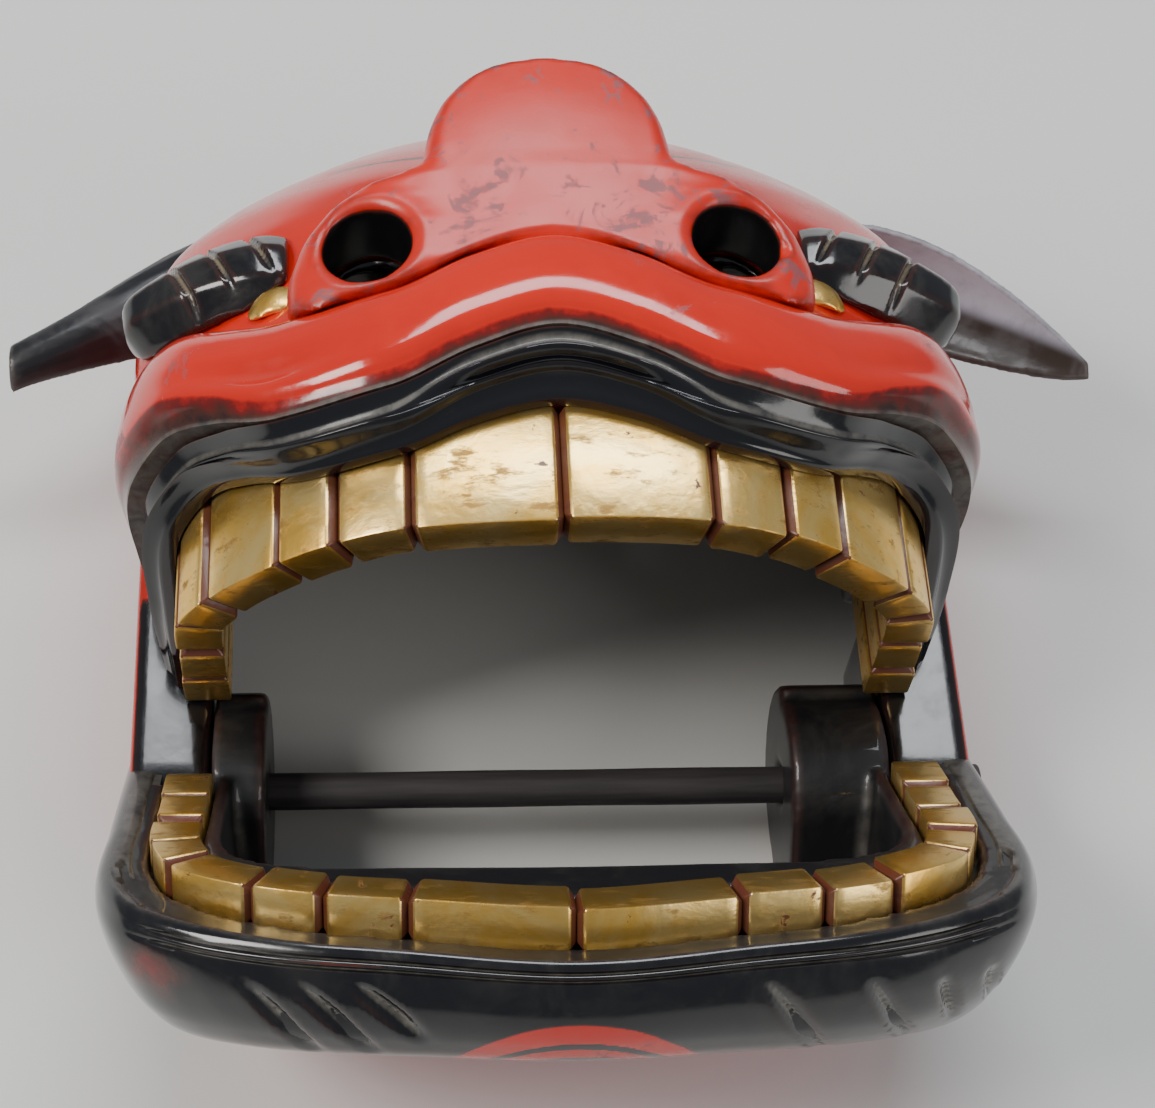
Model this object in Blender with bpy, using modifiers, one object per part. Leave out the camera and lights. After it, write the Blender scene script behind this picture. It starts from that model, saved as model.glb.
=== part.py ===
"""Carved and lacquered wooden lion dance head, resting on its open back with the jaw dropped open.

Units are metres. The muzzle points up (+Z), the top of the head is towards +Y and the ears reach along X.
Head pieces are modelled about the rod: x across, y up the head and z forward to the muzzle. Jaw pieces
are modelled in the same way in the frame of the jaw, which hangs from the rod by its opening angle.
"""
import math

import bmesh
import bpy

# Running and seating clearances
GAP = 0.0003
BACKLASH = 0.0008

# Hinge rod
ROD_HEIGHT = 0.038
ROD_SHIFT = -0.059
ROD_RADIUS = 0.00615
ROD_STUB = 0.007
JAW_OPENING = math.radians(45.4)

# Head
CHEEK_HALF = 0.136
CHEEK_THICK = 0.0265
CHEEK_FRONT = 0.024
CHEEK_ROUND = 0.026
CHEEK_ROUND_FROM = 205
CHEEK_ROUND_TO = 331
CHEEK_CORNER = -0.004
WALL = 0.016
CROWN = 0.237
HEM = 0.060
LIP_TOP = 0.112
MUZZLE = 0.140
TOOTH_ROW = 0.118
CROWN_SINK = 0.018
CROWN_SINK_FROM = 0.56
CHEEK_RELIEF = 0.012
CHEEK_WALL = 0.018

# Upper lip, measured outwards from the teeth
LIP_DEPTH = 0.019
BLACK_LIP_DEPTH = 0.016
LIP_SEAM = 0.001

# Teeth
BITE = 0.020
TOOTH_THICK = 0.015
TOOTH_GROOVE = 0.0012
TOOTH_BEVEL = 0.0012
TOOTH_FOOT = 0.005
TOOTH_SLACK = 0.0006
WIDE_TOOTH = 0.018
LOWER_ROW = 0.1225
UPPER_LAST = 0.024
LOWER_LAST = 0.028

# Nose
NOSE_HALF = 0.081
NOSE_TOP = 0.184
NOSE_FOOT = 0.078
NOSE_FRONT = 0.152
NOSE_SLOPE = 0.011
NOSTRIL_RADIUS = 0.0135
NOSTRIL_SIDE = 0.056
NOSTRIL_HEIGHT = 0.1145
NOSTRIL_BACK = 0.084

# Brows, eyes and ears
BROW_RADIUS = 0.0165
EYE_RADIUS = 0.013
EYE_SINK = 0.009
EAR_SINK = 0.032
RIGHT_EAR_REACH = 0.196
LEFT_EAR_REACH = 0.185
EAR_HALF = 0.024
EAR_THICK = 0.003
RIGHT_EAR_TURN = math.radians(30)
LEFT_EAR_TURN = math.radians(205)

# Jaw
JAW_HALF = 0.138
JAW_REACH = 0.154
JAW_DEPTH = 0.050
JAW_POCKET = 0.1045
JAW_POCKET_REACH = 0.102
JAW_LEDGE = 0.015
JAW_HEEL = -0.003
CHEEK_SWING = 0.0315
LUG_RADIUS = 0.033
LUG_ROUND_FROM = 97
LUG_ROUND_TO = 250
LUG_NECK = 0.029
LUG_NECK_FROM = 9
LUG_NECK_TO = 95
LUG_TRIM = 0.001
LUG_FOOT = 0.004
LUG_BOTTOM = 0.040
LEFT_LUG_INNER = 0.0915
RIGHT_LUG_INNER = 0.077

BORE_SIDES = 32
ROD_SIDES = 24
PLAN_STEPS = 96
ROW_STEPS = 22
BROW_STEPS = 16
BROW_SIDES = 10
EAR_STEPS = 10
EAR_ARC_STEPS = 8

# Plan of the tooth rows from the middle back to the hinge
# (along, share of half width, share of reach past the last tooth)
UPPER_PLAN = (
    (0.00, 0.000, 1.000),
    (0.20, 0.398, 0.966),
    (0.32, 0.610, 0.872),
    (0.44, 0.788, 0.735),
    (0.52, 0.890, 0.632),
    (0.62, 0.985, 0.487),
    (0.78, 1.000, 0.260),
    (1.00, 1.000, 0.000),
)
LOWER_PLAN = (
    (0.00, 0.000, 1.000),
    (0.18, 0.384, 0.935),
    (0.29, 0.604, 0.890),
    (0.39, 0.790, 0.815),
    (0.49, 0.935, 0.700),
    (0.60, 0.998, 0.520),
    (0.78, 1.000, 0.270),
    (1.00, 1.000, 0.000),
)

# Plan of the pocket in the jaw, squarer than its teeth
POCKET_PLAN = (
    (0.00, 0.000, 1.000),
    (0.20, 0.420, 0.990),
    (0.36, 0.760, 0.960),
    (0.46, 0.930, 0.860),
    (0.54, 0.990, 0.700),
    (0.70, 1.000, 0.440),
    (1.00, 1.000, 0.000),
)

# Teeth of one side, from the middle back, as shares of the row
UPPER_TEETH = (0.228, 0.125, 0.108, 0.165, 0.098, 0.095, 0.093, 0.088)
LOWER_TEETH = (0.235, 0.122, 0.108, 0.155, 0.090, 0.092, 0.095, 0.103)

# Upper lip round the row, as shares of the lip's top
# (along, lower edge of black, black to red, top of red, share of depth)
UPPER_LIP = (
    (0.00, 0.525, 0.690, 1.025, 0.95),
    (0.12, 0.480, 0.630, 0.970, 0.93),
    (0.24, 0.402, 0.535, 0.880, 0.90),
    (0.40, 0.397, 0.518, 0.868, 0.95),
    (0.51, 0.460, 0.575, 0.920, 1.10),
    (0.61, 0.490, 0.610, 0.985, 1.20),
    (0.73, 0.420, 0.560, 0.985, 1.08),
    (0.86, 0.320, 0.530, 0.985, 1.00),
    (1.00, 0.240, 0.500, 0.985, 0.94),
)

# Profile of the black lip, gum to red (share of depth, share of height)
BLACK_PROFILE = (
    (0.26, 0.00),
    (0.42, 0.10),
    (0.46, 0.26),
    (0.70, 0.36),
    (0.86, 0.50),
    (0.99, 0.66),
    (1.00, 0.82),
    (0.95, 1.00),
)

# Profile of the red lip, black lip to top (share of depth, share of height)
RED_PROFILE = (
    (0.80, 0.00),
    (0.95, 0.10),
    (1.00, 0.32),
    (0.99, 0.58),
    (0.90, 0.80),
    (0.72, 0.94),
    (0.42, 1.00),
)

# Layers of the head (height share of crown, half width share, reach share of muzzle)
HEAD_LAYERS = (
    (0.476, 1.000, 0.900),
    (0.560, 1.000, 0.870),
    (0.650, 0.980, 0.835),
    (0.740, 0.930, 0.770),
    (0.825, 0.830, 0.670),
    (0.900, 0.680, 0.560),
    (0.960, 0.480, 0.450),
    (1.000, 0.220, 0.350),
)

# Layers of the hollow above the tooth row, in the same shares but moved in by the wall
HOLLOW_LAYERS = (
    (0.500, 0.880, 0.880),
    (0.590, 1.000, 0.865),
    (0.680, 0.975, 0.830),
    (0.770, 0.920, 0.765),
    (0.855, 0.820, 0.665),
    (0.925, 0.670, 0.560),
    (0.980, 0.480, 0.450),
    (1.000, 0.330, 0.400),
)

# Outline of the nose from its top down one side (share of half width, share of height)
NOSE_OUTLINE = (
    (0.00, 1.000),
    (0.11, 0.994),
    (0.22, 0.972),
    (0.33, 0.925),
    (0.41, 0.855),
    (0.455, 0.775),
    (0.475, 0.700),
    (0.485, 0.630),
    (0.58, 0.605),
    (0.72, 0.575),
    (0.85, 0.510),
    (0.95, 0.410),
    (1.00, 0.290),
    (1.00, 0.210),
    (0.96, 0.140),
    (0.80, 0.090),
    (0.62, 0.030),
    (0.45, 0.000),
)

# Rings of the nose from its root to its face (share of reach, share of half width, lift share of height)
NOSE_RINGS = (
    (0.50, 0.90, 0.10),
    (0.66, 0.97, 0.06),
    (0.82, 1.00, 0.02),
    (0.94, 1.00, 0.00),
    (0.98, 0.975, 0.00),
    (1.00, 0.90, 0.00),
)

# Place of the ears on the head (height share of the crown, forward share of the muzzle)
EAR_PLACE = (0.785, 0.20)

# Place of the eyes on the head (share of the way round from the middle, height share of the crown)
EYE_PLACE = (0.460, 0.490)

# Brow roll from the nose out to its end, as shares of the cheek and the crown
# (along, across, height, forward share of muzzle, share of radius)
BROW_SPINE = (
    (0.00, 0.590, 0.564, 0.700, 1.00),
    (0.12, 0.632, 0.563, 0.695, 1.10),
    (0.28, 0.688, 0.561, 0.680, 1.10),
    (0.42, 0.742, 0.558, 0.655, 1.08),
    (0.56, 0.798, 0.554, 0.620, 1.06),
    (0.70, 0.852, 0.550, 0.580, 1.00),
    (0.85, 0.905, 0.546, 0.530, 0.88),
    (1.00, 0.945, 0.543, 0.490, 0.50),
)

# Ears from root to tip (along, rise of the middle line, sag forward, half width, curl in turns)
# The right ear stands open as a leaf, the left one is turned and rolled.
RIGHT_EAR = (
    (0.00, 0.02, 0.00, 0.84, 0.30),
    (0.20, -0.04, 0.02, 0.92, 0.28),
    (0.45, -0.15, 0.03, 0.86, 0.24),
    (0.70, -0.28, 0.02, 0.62, 0.18),
    (0.88, -0.38, 0.00, 0.36, 0.12),
    (1.00, -0.44, -0.02, 0.12, 0.08),
)
LEFT_EAR = (
    (0.00, 0.02, 0.00, 1.05, 0.34),
    (0.20, -0.03, 0.02, 1.02, 0.36),
    (0.45, -0.14, 0.03, 0.80, 0.38),
    (0.70, -0.27, 0.02, 0.58, 0.40),
    (0.88, -0.35, 0.00, 0.46, 0.40),
    (1.00, -0.40, -0.02, 0.40, 0.38),
)

# Layers of the jaw (height at the hinge, height in front, half width share, reach share)
# heights as shares of the jaw's depth
JAW_LAYERS = (
    (-1.00, -0.60, 0.600, 0.680),
    (-0.97, -0.58, 0.740, 0.820),
    (-0.86, -0.52, 0.850, 0.915),
    (-0.62, -0.36, 0.920, 0.970),
    (-0.32, -0.16, 0.968, 0.995),
    (-0.04, 0.00, 0.995, 1.000),
    (0.16, 0.08, 0.995, 0.995),
    (0.28, 0.15, 0.975, 0.982),
    (0.29, 0.13, 0.930, 0.955),
)

# Layers of the pocket in the jaw, in the same heights, as shares of the pocket's own width and reach
POCKET_LAYERS = (
    (-0.82, -0.66, 0.90, 0.90),
    (-0.70, -0.50, 0.95, 0.97),
    (0.80, 0.80, 1.00, 1.00),
)


def read(rows, key):
    """Read a table at a key in its first column, on a smooth curve through the rows."""
    keys = [row[0] for row in rows]
    key = min(max(key, keys[0]), keys[-1])
    i = max(k for k in range(len(keys) - 1) if keys[k] <= key)
    before = rows[max(i - 1, 0)]
    here = rows[i]
    there = rows[i + 1]
    after = rows[min(i + 2, len(rows) - 1)]
    span = there[0] - here[0]
    t = (key - here[0]) / span
    values = []
    for column in range(1, len(here)):
        slope_here = (there[column] - before[column]) / (there[0] - before[0])
        slope_there = (after[column] - here[column]) / (after[0] - here[0])
        values.append(
            here[column] * (2 * t ** 3 - 3 * t ** 2 + 1)
            + slope_here * span * (t ** 3 - 2 * t ** 2 + t)
            + there[column] * (3 * t ** 2 - 2 * t ** 3)
            + slope_there * span * (t ** 3 - t ** 2)
        )
    return values


class ToothLine:
    """Plan curve of the outer faces of a row of teeth, measured along from the middle."""

    def __init__(self, plan, half_width, reach, last):
        whole = ((-plan[1][0], -plan[1][1], plan[1][2]),) + plan
        self.points = []
        self.runs = [0.0]
        for i in range(PLAN_STEPS + 1):
            across, forward = read(whole, plan[-1][0] * i / PLAN_STEPS)
            self.points.append((across * half_width, last + forward * (reach - last)))
            if i:
                self.runs.append(self.runs[-1] + math.dist(self.points[-1], self.points[-2]))
        self.length = self.runs[-1]

    def point(self, run):
        """Point at a signed distance from the middle, to the right for a positive one."""
        distance = abs(run)
        i = max(k for k in range(PLAN_STEPS) if self.runs[k] <= distance)
        t = (distance - self.runs[i]) / (self.runs[i + 1] - self.runs[i])
        x = self.points[i][0] + t * (self.points[i + 1][0] - self.points[i][0])
        z = self.points[i][1] + t * (self.points[i + 1][1] - self.points[i][1])
        return math.copysign(x, run), z

    def place(self, run, out, height):
        """Point beside the line, moved outwards and to a height."""
        reach = 0.01 * self.length
        ahead = self.point(run + reach)
        behind = self.point(run - reach)
        length = math.dist(ahead, behind)
        x, z = self.point(run)
        normal_x = (behind[1] - ahead[1]) / length
        normal_z = (ahead[0] - behind[0]) / length
        return x + out * normal_x, height, z + out * normal_z


def material(name, color, roughness, metallic=0.0, coat=0.0):
    """Painted, gilded or bare surface of one piece."""
    surface = bpy.data.materials.new(name)
    surface.use_nodes = True
    shader = surface.node_tree.nodes["Principled BSDF"]
    shader.inputs["Base Color"].default_value = (*color, 1.0)
    shader.inputs["Roughness"].default_value = roughness
    shader.inputs["Metallic"].default_value = metallic
    shader.inputs["Coat Weight"].default_value = coat
    surface.diffuse_color = (*color, 1.0)
    return surface


def add_object(name, mesh, frame, surface=None):
    """Put a mesh in the head's collection, or with the cutters where it has no surface."""
    piece = bpy.data.objects.new(name, mesh)
    piece.parent = frame
    if surface is None:
        cutters.objects.link(piece)
        piece.hide_render = True
        piece.display_type = "WIRE"
        return piece
    parts.objects.link(piece)
    mesh.materials.append(surface)
    mesh.shade_smooth()
    mesh.set_sharp_from_angle(angle=math.radians(40))
    return piece


def cap(bm, ring, mirrored):
    """Close a ring with one face, or with strips across where its halves mirror each other."""
    if not mirrored:
        bm.faces.new(ring)
        return
    i, j = 0, len(ring) - 1
    while j - i > 2:
        bm.faces.new((ring[i], ring[i + 1], ring[j - 1], ring[j]))
        i += 1
        j -= 1
    if j - i == 2:
        bm.faces.new((ring[i], ring[i + 1], ring[j]))


def loft(name, rings, frame, surface=None, mirrored=False):
    """Skin closed rings of equal length one after another and cap both ends."""
    bm = bmesh.new()
    rows = [[bm.verts.new(point) for point in ring] for ring in rings]
    count = len(rows[0])
    for lower, upper in zip(rows, rows[1:]):
        for i in range(count):
            j = (i + 1) % count
            bm.faces.new((lower[i], lower[j], upper[j], upper[i]))
    cap(bm, rows[0], mirrored)
    cap(bm, rows[-1], mirrored)
    bm.normal_update()
    bmesh.ops.recalc_face_normals(bm, faces=bm.faces)
    mesh = bpy.data.meshes.new(name)
    bm.to_mesh(mesh)
    bm.free()
    return add_object(name, mesh, frame, surface)


def slab(name, outline, inner, outer, frame, surface=None):
    """Plate between two distances across, from its outline seen from the side."""
    rings = [[(x, y, z) for y, z in outline] for x in (inner, outer)]
    return loft(name, rings, frame, surface)


def boolean(piece, other, operation):
    """Cut a piece by another shape or join them."""
    step = piece.modifiers.new(other.name, "BOOLEAN")
    step.object = other
    step.operation = operation


def cylinder(name, radius, start, end, frame, along="X", middle=(0.0, 0.0), sides=BORE_SIDES, surface=None):
    """Round bar or bore along an axis, between two places on it."""
    bm = bmesh.new()
    bmesh.ops.create_cone(
        bm, cap_ends=True, segments=sides, radius1=radius, radius2=radius, depth=end - start
    )
    for vert in bm.verts:
        along_axis = vert.co.z + (start + end) / 2
        first, second = vert.co.x + middle[0], vert.co.y + middle[1]
        vert.co = (along_axis, first, second) if along == "X" else (first, second, along_axis)
    bm.normal_update()
    bmesh.ops.recalc_face_normals(bm, faces=bm.faces)
    mesh = bpy.data.meshes.new(name)
    bm.to_mesh(mesh)
    bm.free()
    return add_object(name, mesh, frame, surface)


def layers(name, plan, last, rows, frame, surface=None, steps=ROW_STEPS):
    """Stack of horseshoe outlines from rows of back height, front height, half width, reach and back."""
    rings = []
    for back_height, front_height, half, reach, back in rows:
        line = ToothLine(plan, half, reach, last)
        ring = [(half, back)]
        ring += [line.point(line.length * (1 - i / steps)) for i in range(2 * steps + 1)]
        ring.append((-half, back))
        points = []
        for x, z in ring:
            share = min(max(z / reach, 0.0), 1.0) ** 2
            points.append((x, back_height + (front_height - back_height) * share, z))
        rings.append(points)
    return loft(name, rings, frame, surface, mirrored=True)


def inside_row(name, line, out, low, high, back, frame):
    """Block that fills the inside of a row, its outline moved out from the line of the teeth."""
    rings = []
    for height in (low, high):
        ring = [line.place(line.length * (1 - i / ROW_STEPS), out, height) for i in range(2 * ROW_STEPS + 1)]
        if back < ring[0][2]:
            ring = [(ring[0][0], height, back), *ring, (ring[-1][0], height, back)]
        rings.append(ring)
    return loft(name, rings, frame, mirrored=True)


def head_rows(table, inset, rise, back):
    """Layers of the head or its hollow, moved in by the wall; the crown sinks towards the back."""
    rows = []
    for height, width, reach in table:
        level = height * CROWN + rise
        sink = CROWN_SINK * max(height - CROWN_SINK_FROM, 0.0) / (1 - CROWN_SINK_FROM)
        rows.append((level - sink, level, width * CHEEK_HALF - inset, reach * MUZZLE - inset, back))
    return rows


def head_form(name, grow, frame, surface=None):
    """Whole outer form of the head down to the hem above the teeth."""
    back = -ROD_HEIGHT - grow
    row_half = TOOTH_ROW + grow
    row_reach = MUZZLE + grow
    rows = [
        (HEM - grow, HEM - grow, row_half, row_reach, back),
        (LIP_TOP, LIP_TOP, row_half, row_reach, back),
    ]
    rows += head_rows(HEAD_LAYERS, -grow, grow, back)
    return layers(name, UPPER_PLAN, UPPER_LAST, rows, frame, surface)


def tooth(name, line, start, end, low, high, frame, surface):
    """One square tooth on its row, with worn edges."""
    steps = 2 if abs(end - start) > WIDE_TOOTH else 1
    rings = []
    for i in range(steps + 1):
        run = start + (end - start) * i / steps
        corners = ((-TOOTH_THICK, low), (0.0, low), (0.0, high), (-TOOTH_THICK, high))
        rings.append([line.place(run, out, height) for out, height in corners])
    block = loft(name, rings, frame, surface)
    edges = block.modifiers.new("worn_edges", "BEVEL")
    edges.width = TOOTH_BEVEL
    edges.segments = 1
    edges.limit_method = "ANGLE"
    edges.angle_limit = math.radians(40)
    return block


def teeth(prefix, line, shares, low, high, frame, surface):
    """Both halves of a row of teeth, numbered from the middle."""
    for side, sign in (("left", -1), ("right", 1)):
        run = 0.0
        for number, share in enumerate(shares, 1):
            end = run + share * line.length
            start_run = sign * (run + TOOTH_GROOVE / 2)
            end_run = sign * (end - TOOTH_GROOVE / 2)
            name = f"{prefix}_{side}_{number}"
            tooth(name, line, start_run, end_run, low, high, frame, surface)
            run = end


def lip(name, profile, from_column, to_column, depth, frame, surface=None, grow=0.0, seam=0.0):
    """Half-round or ridged lip swept round the upper row, between two edges of the lip table."""
    line = upper_line
    mirrored = ((-UPPER_LIP[1][0],) + UPPER_LIP[1][1:],) + UPPER_LIP
    reach = line.length - (CHEEK_FRONT + GAP - UPPER_LAST)
    rings = []
    for i in range(2 * ROW_STEPS + 1):
        run = reach * (i / ROW_STEPS - 1)
        values = read(mirrored, abs(run) / line.length)
        low = values[from_column] * LIP_TOP + seam - grow
        high = values[to_column] * LIP_TOP + grow
        bulge = values[3] * depth + grow
        ring = [line.place(run, GAP - grow, low), *(
            line.place(run, out * bulge, low + share * (high - low)) for out, share in profile
        ), line.place(run, GAP - grow, high)]
        rings.append(ring)
    return loft(name, rings, frame, surface)


def nose(name, frame, surface=None, grow=0.0):
    """Broad nose with a round ball between two wings."""
    rings = []
    for reach, width, lift in NOSE_RINGS:
        front = NOSE_FRONT * reach + (grow if reach == 1.0 else 0.0)
        height = (NOSE_TOP - NOSE_FOOT) * (1 + lift)
        half = [
            (across * NOSE_HALF * width + grow, NOSE_FOOT + share * height + grow)
            for across, share in NOSE_OUTLINE
        ]
        top = (0.0, half[0][1])
        ring = [(x, y, front - NOSE_SLOPE * (x / NOSE_HALF) ** 2) for x, y in [top] + half[1:]]
        ring += [(-x, y, z) for x, y, z in reversed(ring[1:])]
        rings.append(ring)
    return loft(name, rings, frame, surface, mirrored=True)


def brow(name, sign, frame, surface=None, grow=0.0):
    """Lobed roll of the brow, from beside the nose to past the cheek."""
    rings = []
    for i in range(BROW_STEPS + 1):
        along = i / BROW_STEPS
        across, height, forward, swell = read(BROW_SPINE, along)
        ahead = read(BROW_SPINE, min(along + 1 / BROW_STEPS, 1.0))
        behind = read(BROW_SPINE, max(along - 1 / BROW_STEPS, 0.0))
        lean_y = (ahead[1] - behind[1]) * CROWN
        lean_z = (ahead[2] - behind[2]) * MUZZLE
        run = (ahead[0] - behind[0]) * CHEEK_HALF
        radius = swell * BROW_RADIUS + grow
        ring = []
        for k in range(BROW_SIDES):
            turn = 2 * math.pi * k / BROW_SIDES
            y, z = radius * math.cos(turn), radius * math.sin(turn)
            shift = -(y * lean_y + z * lean_z) / run
            ring.append((sign * (across * CHEEK_HALF + shift), height * CROWN + y, forward * MUZZLE + z))
        rings.append(ring)
    return loft(name, rings, frame, surface)


def ear(name, sign, tip, rows, turn, frame, surface):
    """Thin curled leaf that ends at its tip across, an open sheet with a wall thickness."""
    root_across = CHEEK_HALF - EAR_SINK
    length = tip - root_across
    root_height = EAR_PLACE[0] * CROWN
    root_forward = EAR_PLACE[1] * MUZZLE
    bm = bmesh.new()
    sheet = []
    for i in range(EAR_STEPS + 1):
        along = i / EAR_STEPS
        rise, sag, width, curl = read(rows, along)
        angle = curl * 2 * math.pi
        radius = 2 * width * EAR_HALF / angle
        row = []
        for k in range(EAR_ARC_STEPS + 1):
            phi = angle * (k / EAR_ARC_STEPS - 0.5) + turn
            y = root_height + rise * length + radius * (math.sin(phi) - math.sin(turn))
            z = root_forward + sag * length - radius * (math.cos(phi) - math.cos(turn))
            row.append(bm.verts.new((sign * (root_across + along * length), y, z)))
        sheet.append(row)
    for lower, upper in zip(sheet, sheet[1:]):
        for k in range(EAR_ARC_STEPS):
            bm.faces.new((lower[k], lower[k + 1], upper[k + 1], upper[k]))
    mesh = bpy.data.meshes.new(name)
    bm.to_mesh(mesh)
    bm.free()
    piece = add_object(name, mesh, frame, surface)
    wall = piece.modifiers.new("wall", "SOLIDIFY")
    wall.thickness = EAR_THICK
    wall.offset = 0.0
    return piece


def outline_arc(radius, start, end, steps):
    """Points (height, forward) of an arc about the rod, from one angle above forward to another."""
    angles = [math.radians(start + (end - start) * i / steps) for i in range(steps + 1)]
    return [(radius * math.sin(angle), radius * math.cos(angle)) for angle in angles]


for old in list(bpy.data.objects):
    bpy.data.objects.remove(old, do_unlink=True)

parts = bpy.data.collections.new("lion_dance_head")
cutters = bpy.data.collections.new("cutters")
bpy.context.scene.collection.children.link(parts)
bpy.context.scene.collection.children.link(cutters)

# Frames of the head and of the jaw, both with their origin on the rod
head_frame = bpy.data.objects.new("head_frame", None)
head_frame.location = ((LEFT_EAR_REACH - RIGHT_EAR_REACH) / 2, ROD_SHIFT, ROD_HEIGHT)
parts.objects.link(head_frame)
jaw_frame = bpy.data.objects.new("jaw_frame", None)
jaw_frame.location = head_frame.location
jaw_frame.rotation_euler = (JAW_OPENING, 0.0, 0.0)
parts.objects.link(jaw_frame)

red_lacquer = material("red_lacquer", (0.60, 0.035, 0.015), 0.22, coat=0.6)
black_lacquer = material("black_lacquer", (0.012, 0.011, 0.012), 0.25, coat=0.5)
gold_leaf = material("gold_leaf", (0.66, 0.42, 0.12), 0.38, metallic=1.0)
rod_wood = material("rod_wood", (0.055, 0.045, 0.042), 0.65)
ear_black = material("ear_black", (0.016, 0.014, 0.015), 0.45)

upper_line = ToothLine(UPPER_PLAN, TOOTH_ROW, MUZZLE, UPPER_LAST)
lower_line = ToothLine(LOWER_PLAN, LOWER_ROW, MUZZLE, LOWER_LAST)
bore_radius = (ROD_RADIUS + GAP) / math.cos(math.pi / BORE_SIDES)
head_bore = cylinder("head_bore", bore_radius, -2 * CHEEK_HALF, 2 * CHEEK_HALF, head_frame)
jaw_bore = cylinder("jaw_bore", bore_radius, -2 * CHEEK_HALF, 2 * CHEEK_HALF, jaw_frame)
nostrils = [
    cylinder(
        f"nostril_{side}", NOSTRIL_RADIUS, NOSTRIL_BACK, 2 * MUZZLE, head_frame,
        along="Z", middle=(sign * NOSTRIL_SIDE, NOSTRIL_HEIGHT),
    )
    for side, sign in (("left", -1), ("right", 1))
]

# Head shell: the whole form, joined with the cheek plates and hollowed from the back and from below
head_shell = head_form("head_shell", 0.0, head_frame, red_lacquer)
plate_inner = CHEEK_HALF - CHEEK_THICK
round_end = outline_arc(CHEEK_ROUND, CHEEK_ROUND_FROM, CHEEK_ROUND_TO, 9)
plate_top = LIP_TOP + WALL
plate_outline = [(plate_top, -ROD_HEIGHT), (round_end[0][0], -ROD_HEIGHT), *round_end]
plate_outline += [(CHEEK_CORNER, CHEEK_FRONT), (plate_top, CHEEK_FRONT)]
root_outer = CHEEK_HALF - LUG_TRIM
root_outline = [(plate_top, -ROD_HEIGHT), (HEM, -ROD_HEIGHT), (HEM, CHEEK_FRONT), (plate_top, CHEEK_FRONT)]
for side, sign in (("left", -1), ("right", 1)):
    plate = slab(f"cheek_plate_{side}", plate_outline, sign * plate_inner, sign * CHEEK_HALF, head_frame)
    root = slab(f"cheek_root_{side}", root_outline, sign * plate_inner, sign * root_outer, head_frame)
    boolean(head_shell, plate, "UNION")
    boolean(head_shell, root, "UNION")
hollow_back = -2 * ROD_HEIGHT
hollow_rows = [
    (HEM - WALL, HEM - WALL, TOOTH_ROW - WALL, MUZZLE - WALL, hollow_back),
    (LIP_TOP - WALL, LIP_TOP - WALL, TOOTH_ROW - WALL, MUZZLE - WALL, hollow_back),
]
hollow_rows += head_rows(HOLLOW_LAYERS, WALL, -WALL, hollow_back)
hollow = layers("hollow", UPPER_PLAN, UPPER_LAST, hollow_rows, head_frame)
boolean(head_shell, hollow, "DIFFERENCE")
relief_outline = [(plate_top, hollow_back), (HEM, hollow_back)]
relief_outline += [(HEM, CHEEK_RELIEF), (plate_top, CHEEK_RELIEF)]
relief_half = CHEEK_HALF - CHEEK_WALL
relief = slab("cheek_relief", relief_outline, -relief_half, relief_half, head_frame)
boolean(head_shell, relief, "DIFFERENCE")
boolean(head_shell, head_bore, "DIFFERENCE")
for nostril in nostrils:
    boolean(head_shell, nostril, "DIFFERENCE")

# Lips
upper_lip_black = lip("upper_lip_black", BLACK_PROFILE, 0, 1, BLACK_LIP_DEPTH, head_frame, black_lacquer)
upper_lip_red = lip("upper_lip_red", RED_PROFILE, 1, 2, LIP_DEPTH, head_frame, red_lacquer, seam=LIP_SEAM)

# Nose, seated on the head and on the red lip
head_seat = head_form("head_seat", GAP, head_frame)
lip_seat = lip("lip_seat", RED_PROFILE, 1, 2, LIP_DEPTH, head_frame, grow=GAP, seam=LIP_SEAM)
nose_piece = nose("nose", head_frame, red_lacquer)
boolean(nose_piece, head_seat, "DIFFERENCE")
boolean(nose_piece, lip_seat, "DIFFERENCE")
for nostril in nostrils:
    boolean(nose_piece, nostril, "DIFFERENCE")

# Brows, eyes and ears
nose_seat = nose("nose_seat", head_frame, grow=GAP)
eye_along, eye_share = EYE_PLACE
head_line = ToothLine(UPPER_PLAN, CHEEK_HALF - EYE_SINK, HEAD_LAYERS[0][2] * MUZZLE - EYE_SINK, UPPER_LAST)
eye_side, eye_forward = head_line.point(eye_along * head_line.length)
for side, sign in (("left", -1), ("right", 1)):
    roll = brow(f"brow_{side}", sign, head_frame, black_lacquer)
    boolean(roll, head_seat, "DIFFERENCE")
    boolean(roll, nose_seat, "DIFFERENCE")
    boolean(roll, lip_seat, "DIFFERENCE")
    bm = bmesh.new()
    bmesh.ops.create_uvsphere(bm, u_segments=16, v_segments=8, radius=EYE_RADIUS)
    bmesh.ops.translate(bm, vec=(sign * eye_side, eye_share * CROWN, eye_forward), verts=bm.verts)
    eye_mesh = bpy.data.meshes.new(f"eye_{side}")
    bm.to_mesh(eye_mesh)
    bm.free()
    eye = add_object(f"eye_{side}", eye_mesh, head_frame, gold_leaf)
    boolean(eye, head_seat, "DIFFERENCE")
    boolean(eye, nose_seat, "DIFFERENCE")
    boolean(eye, lip_seat, "DIFFERENCE")
    boolean(eye, brow(f"brow_seat_{side}", sign, head_frame, grow=GAP), "DIFFERENCE")
left_ear = ear("ear_left", -1, LEFT_EAR_REACH, LEFT_EAR, LEFT_EAR_TURN, head_frame, ear_black)
right_ear = ear("ear_right", 1, RIGHT_EAR_REACH, RIGHT_EAR, RIGHT_EAR_TURN, head_frame, ear_black)
boolean(left_ear, head_seat, "DIFFERENCE")
boolean(right_ear, head_seat, "DIFFERENCE")

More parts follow.
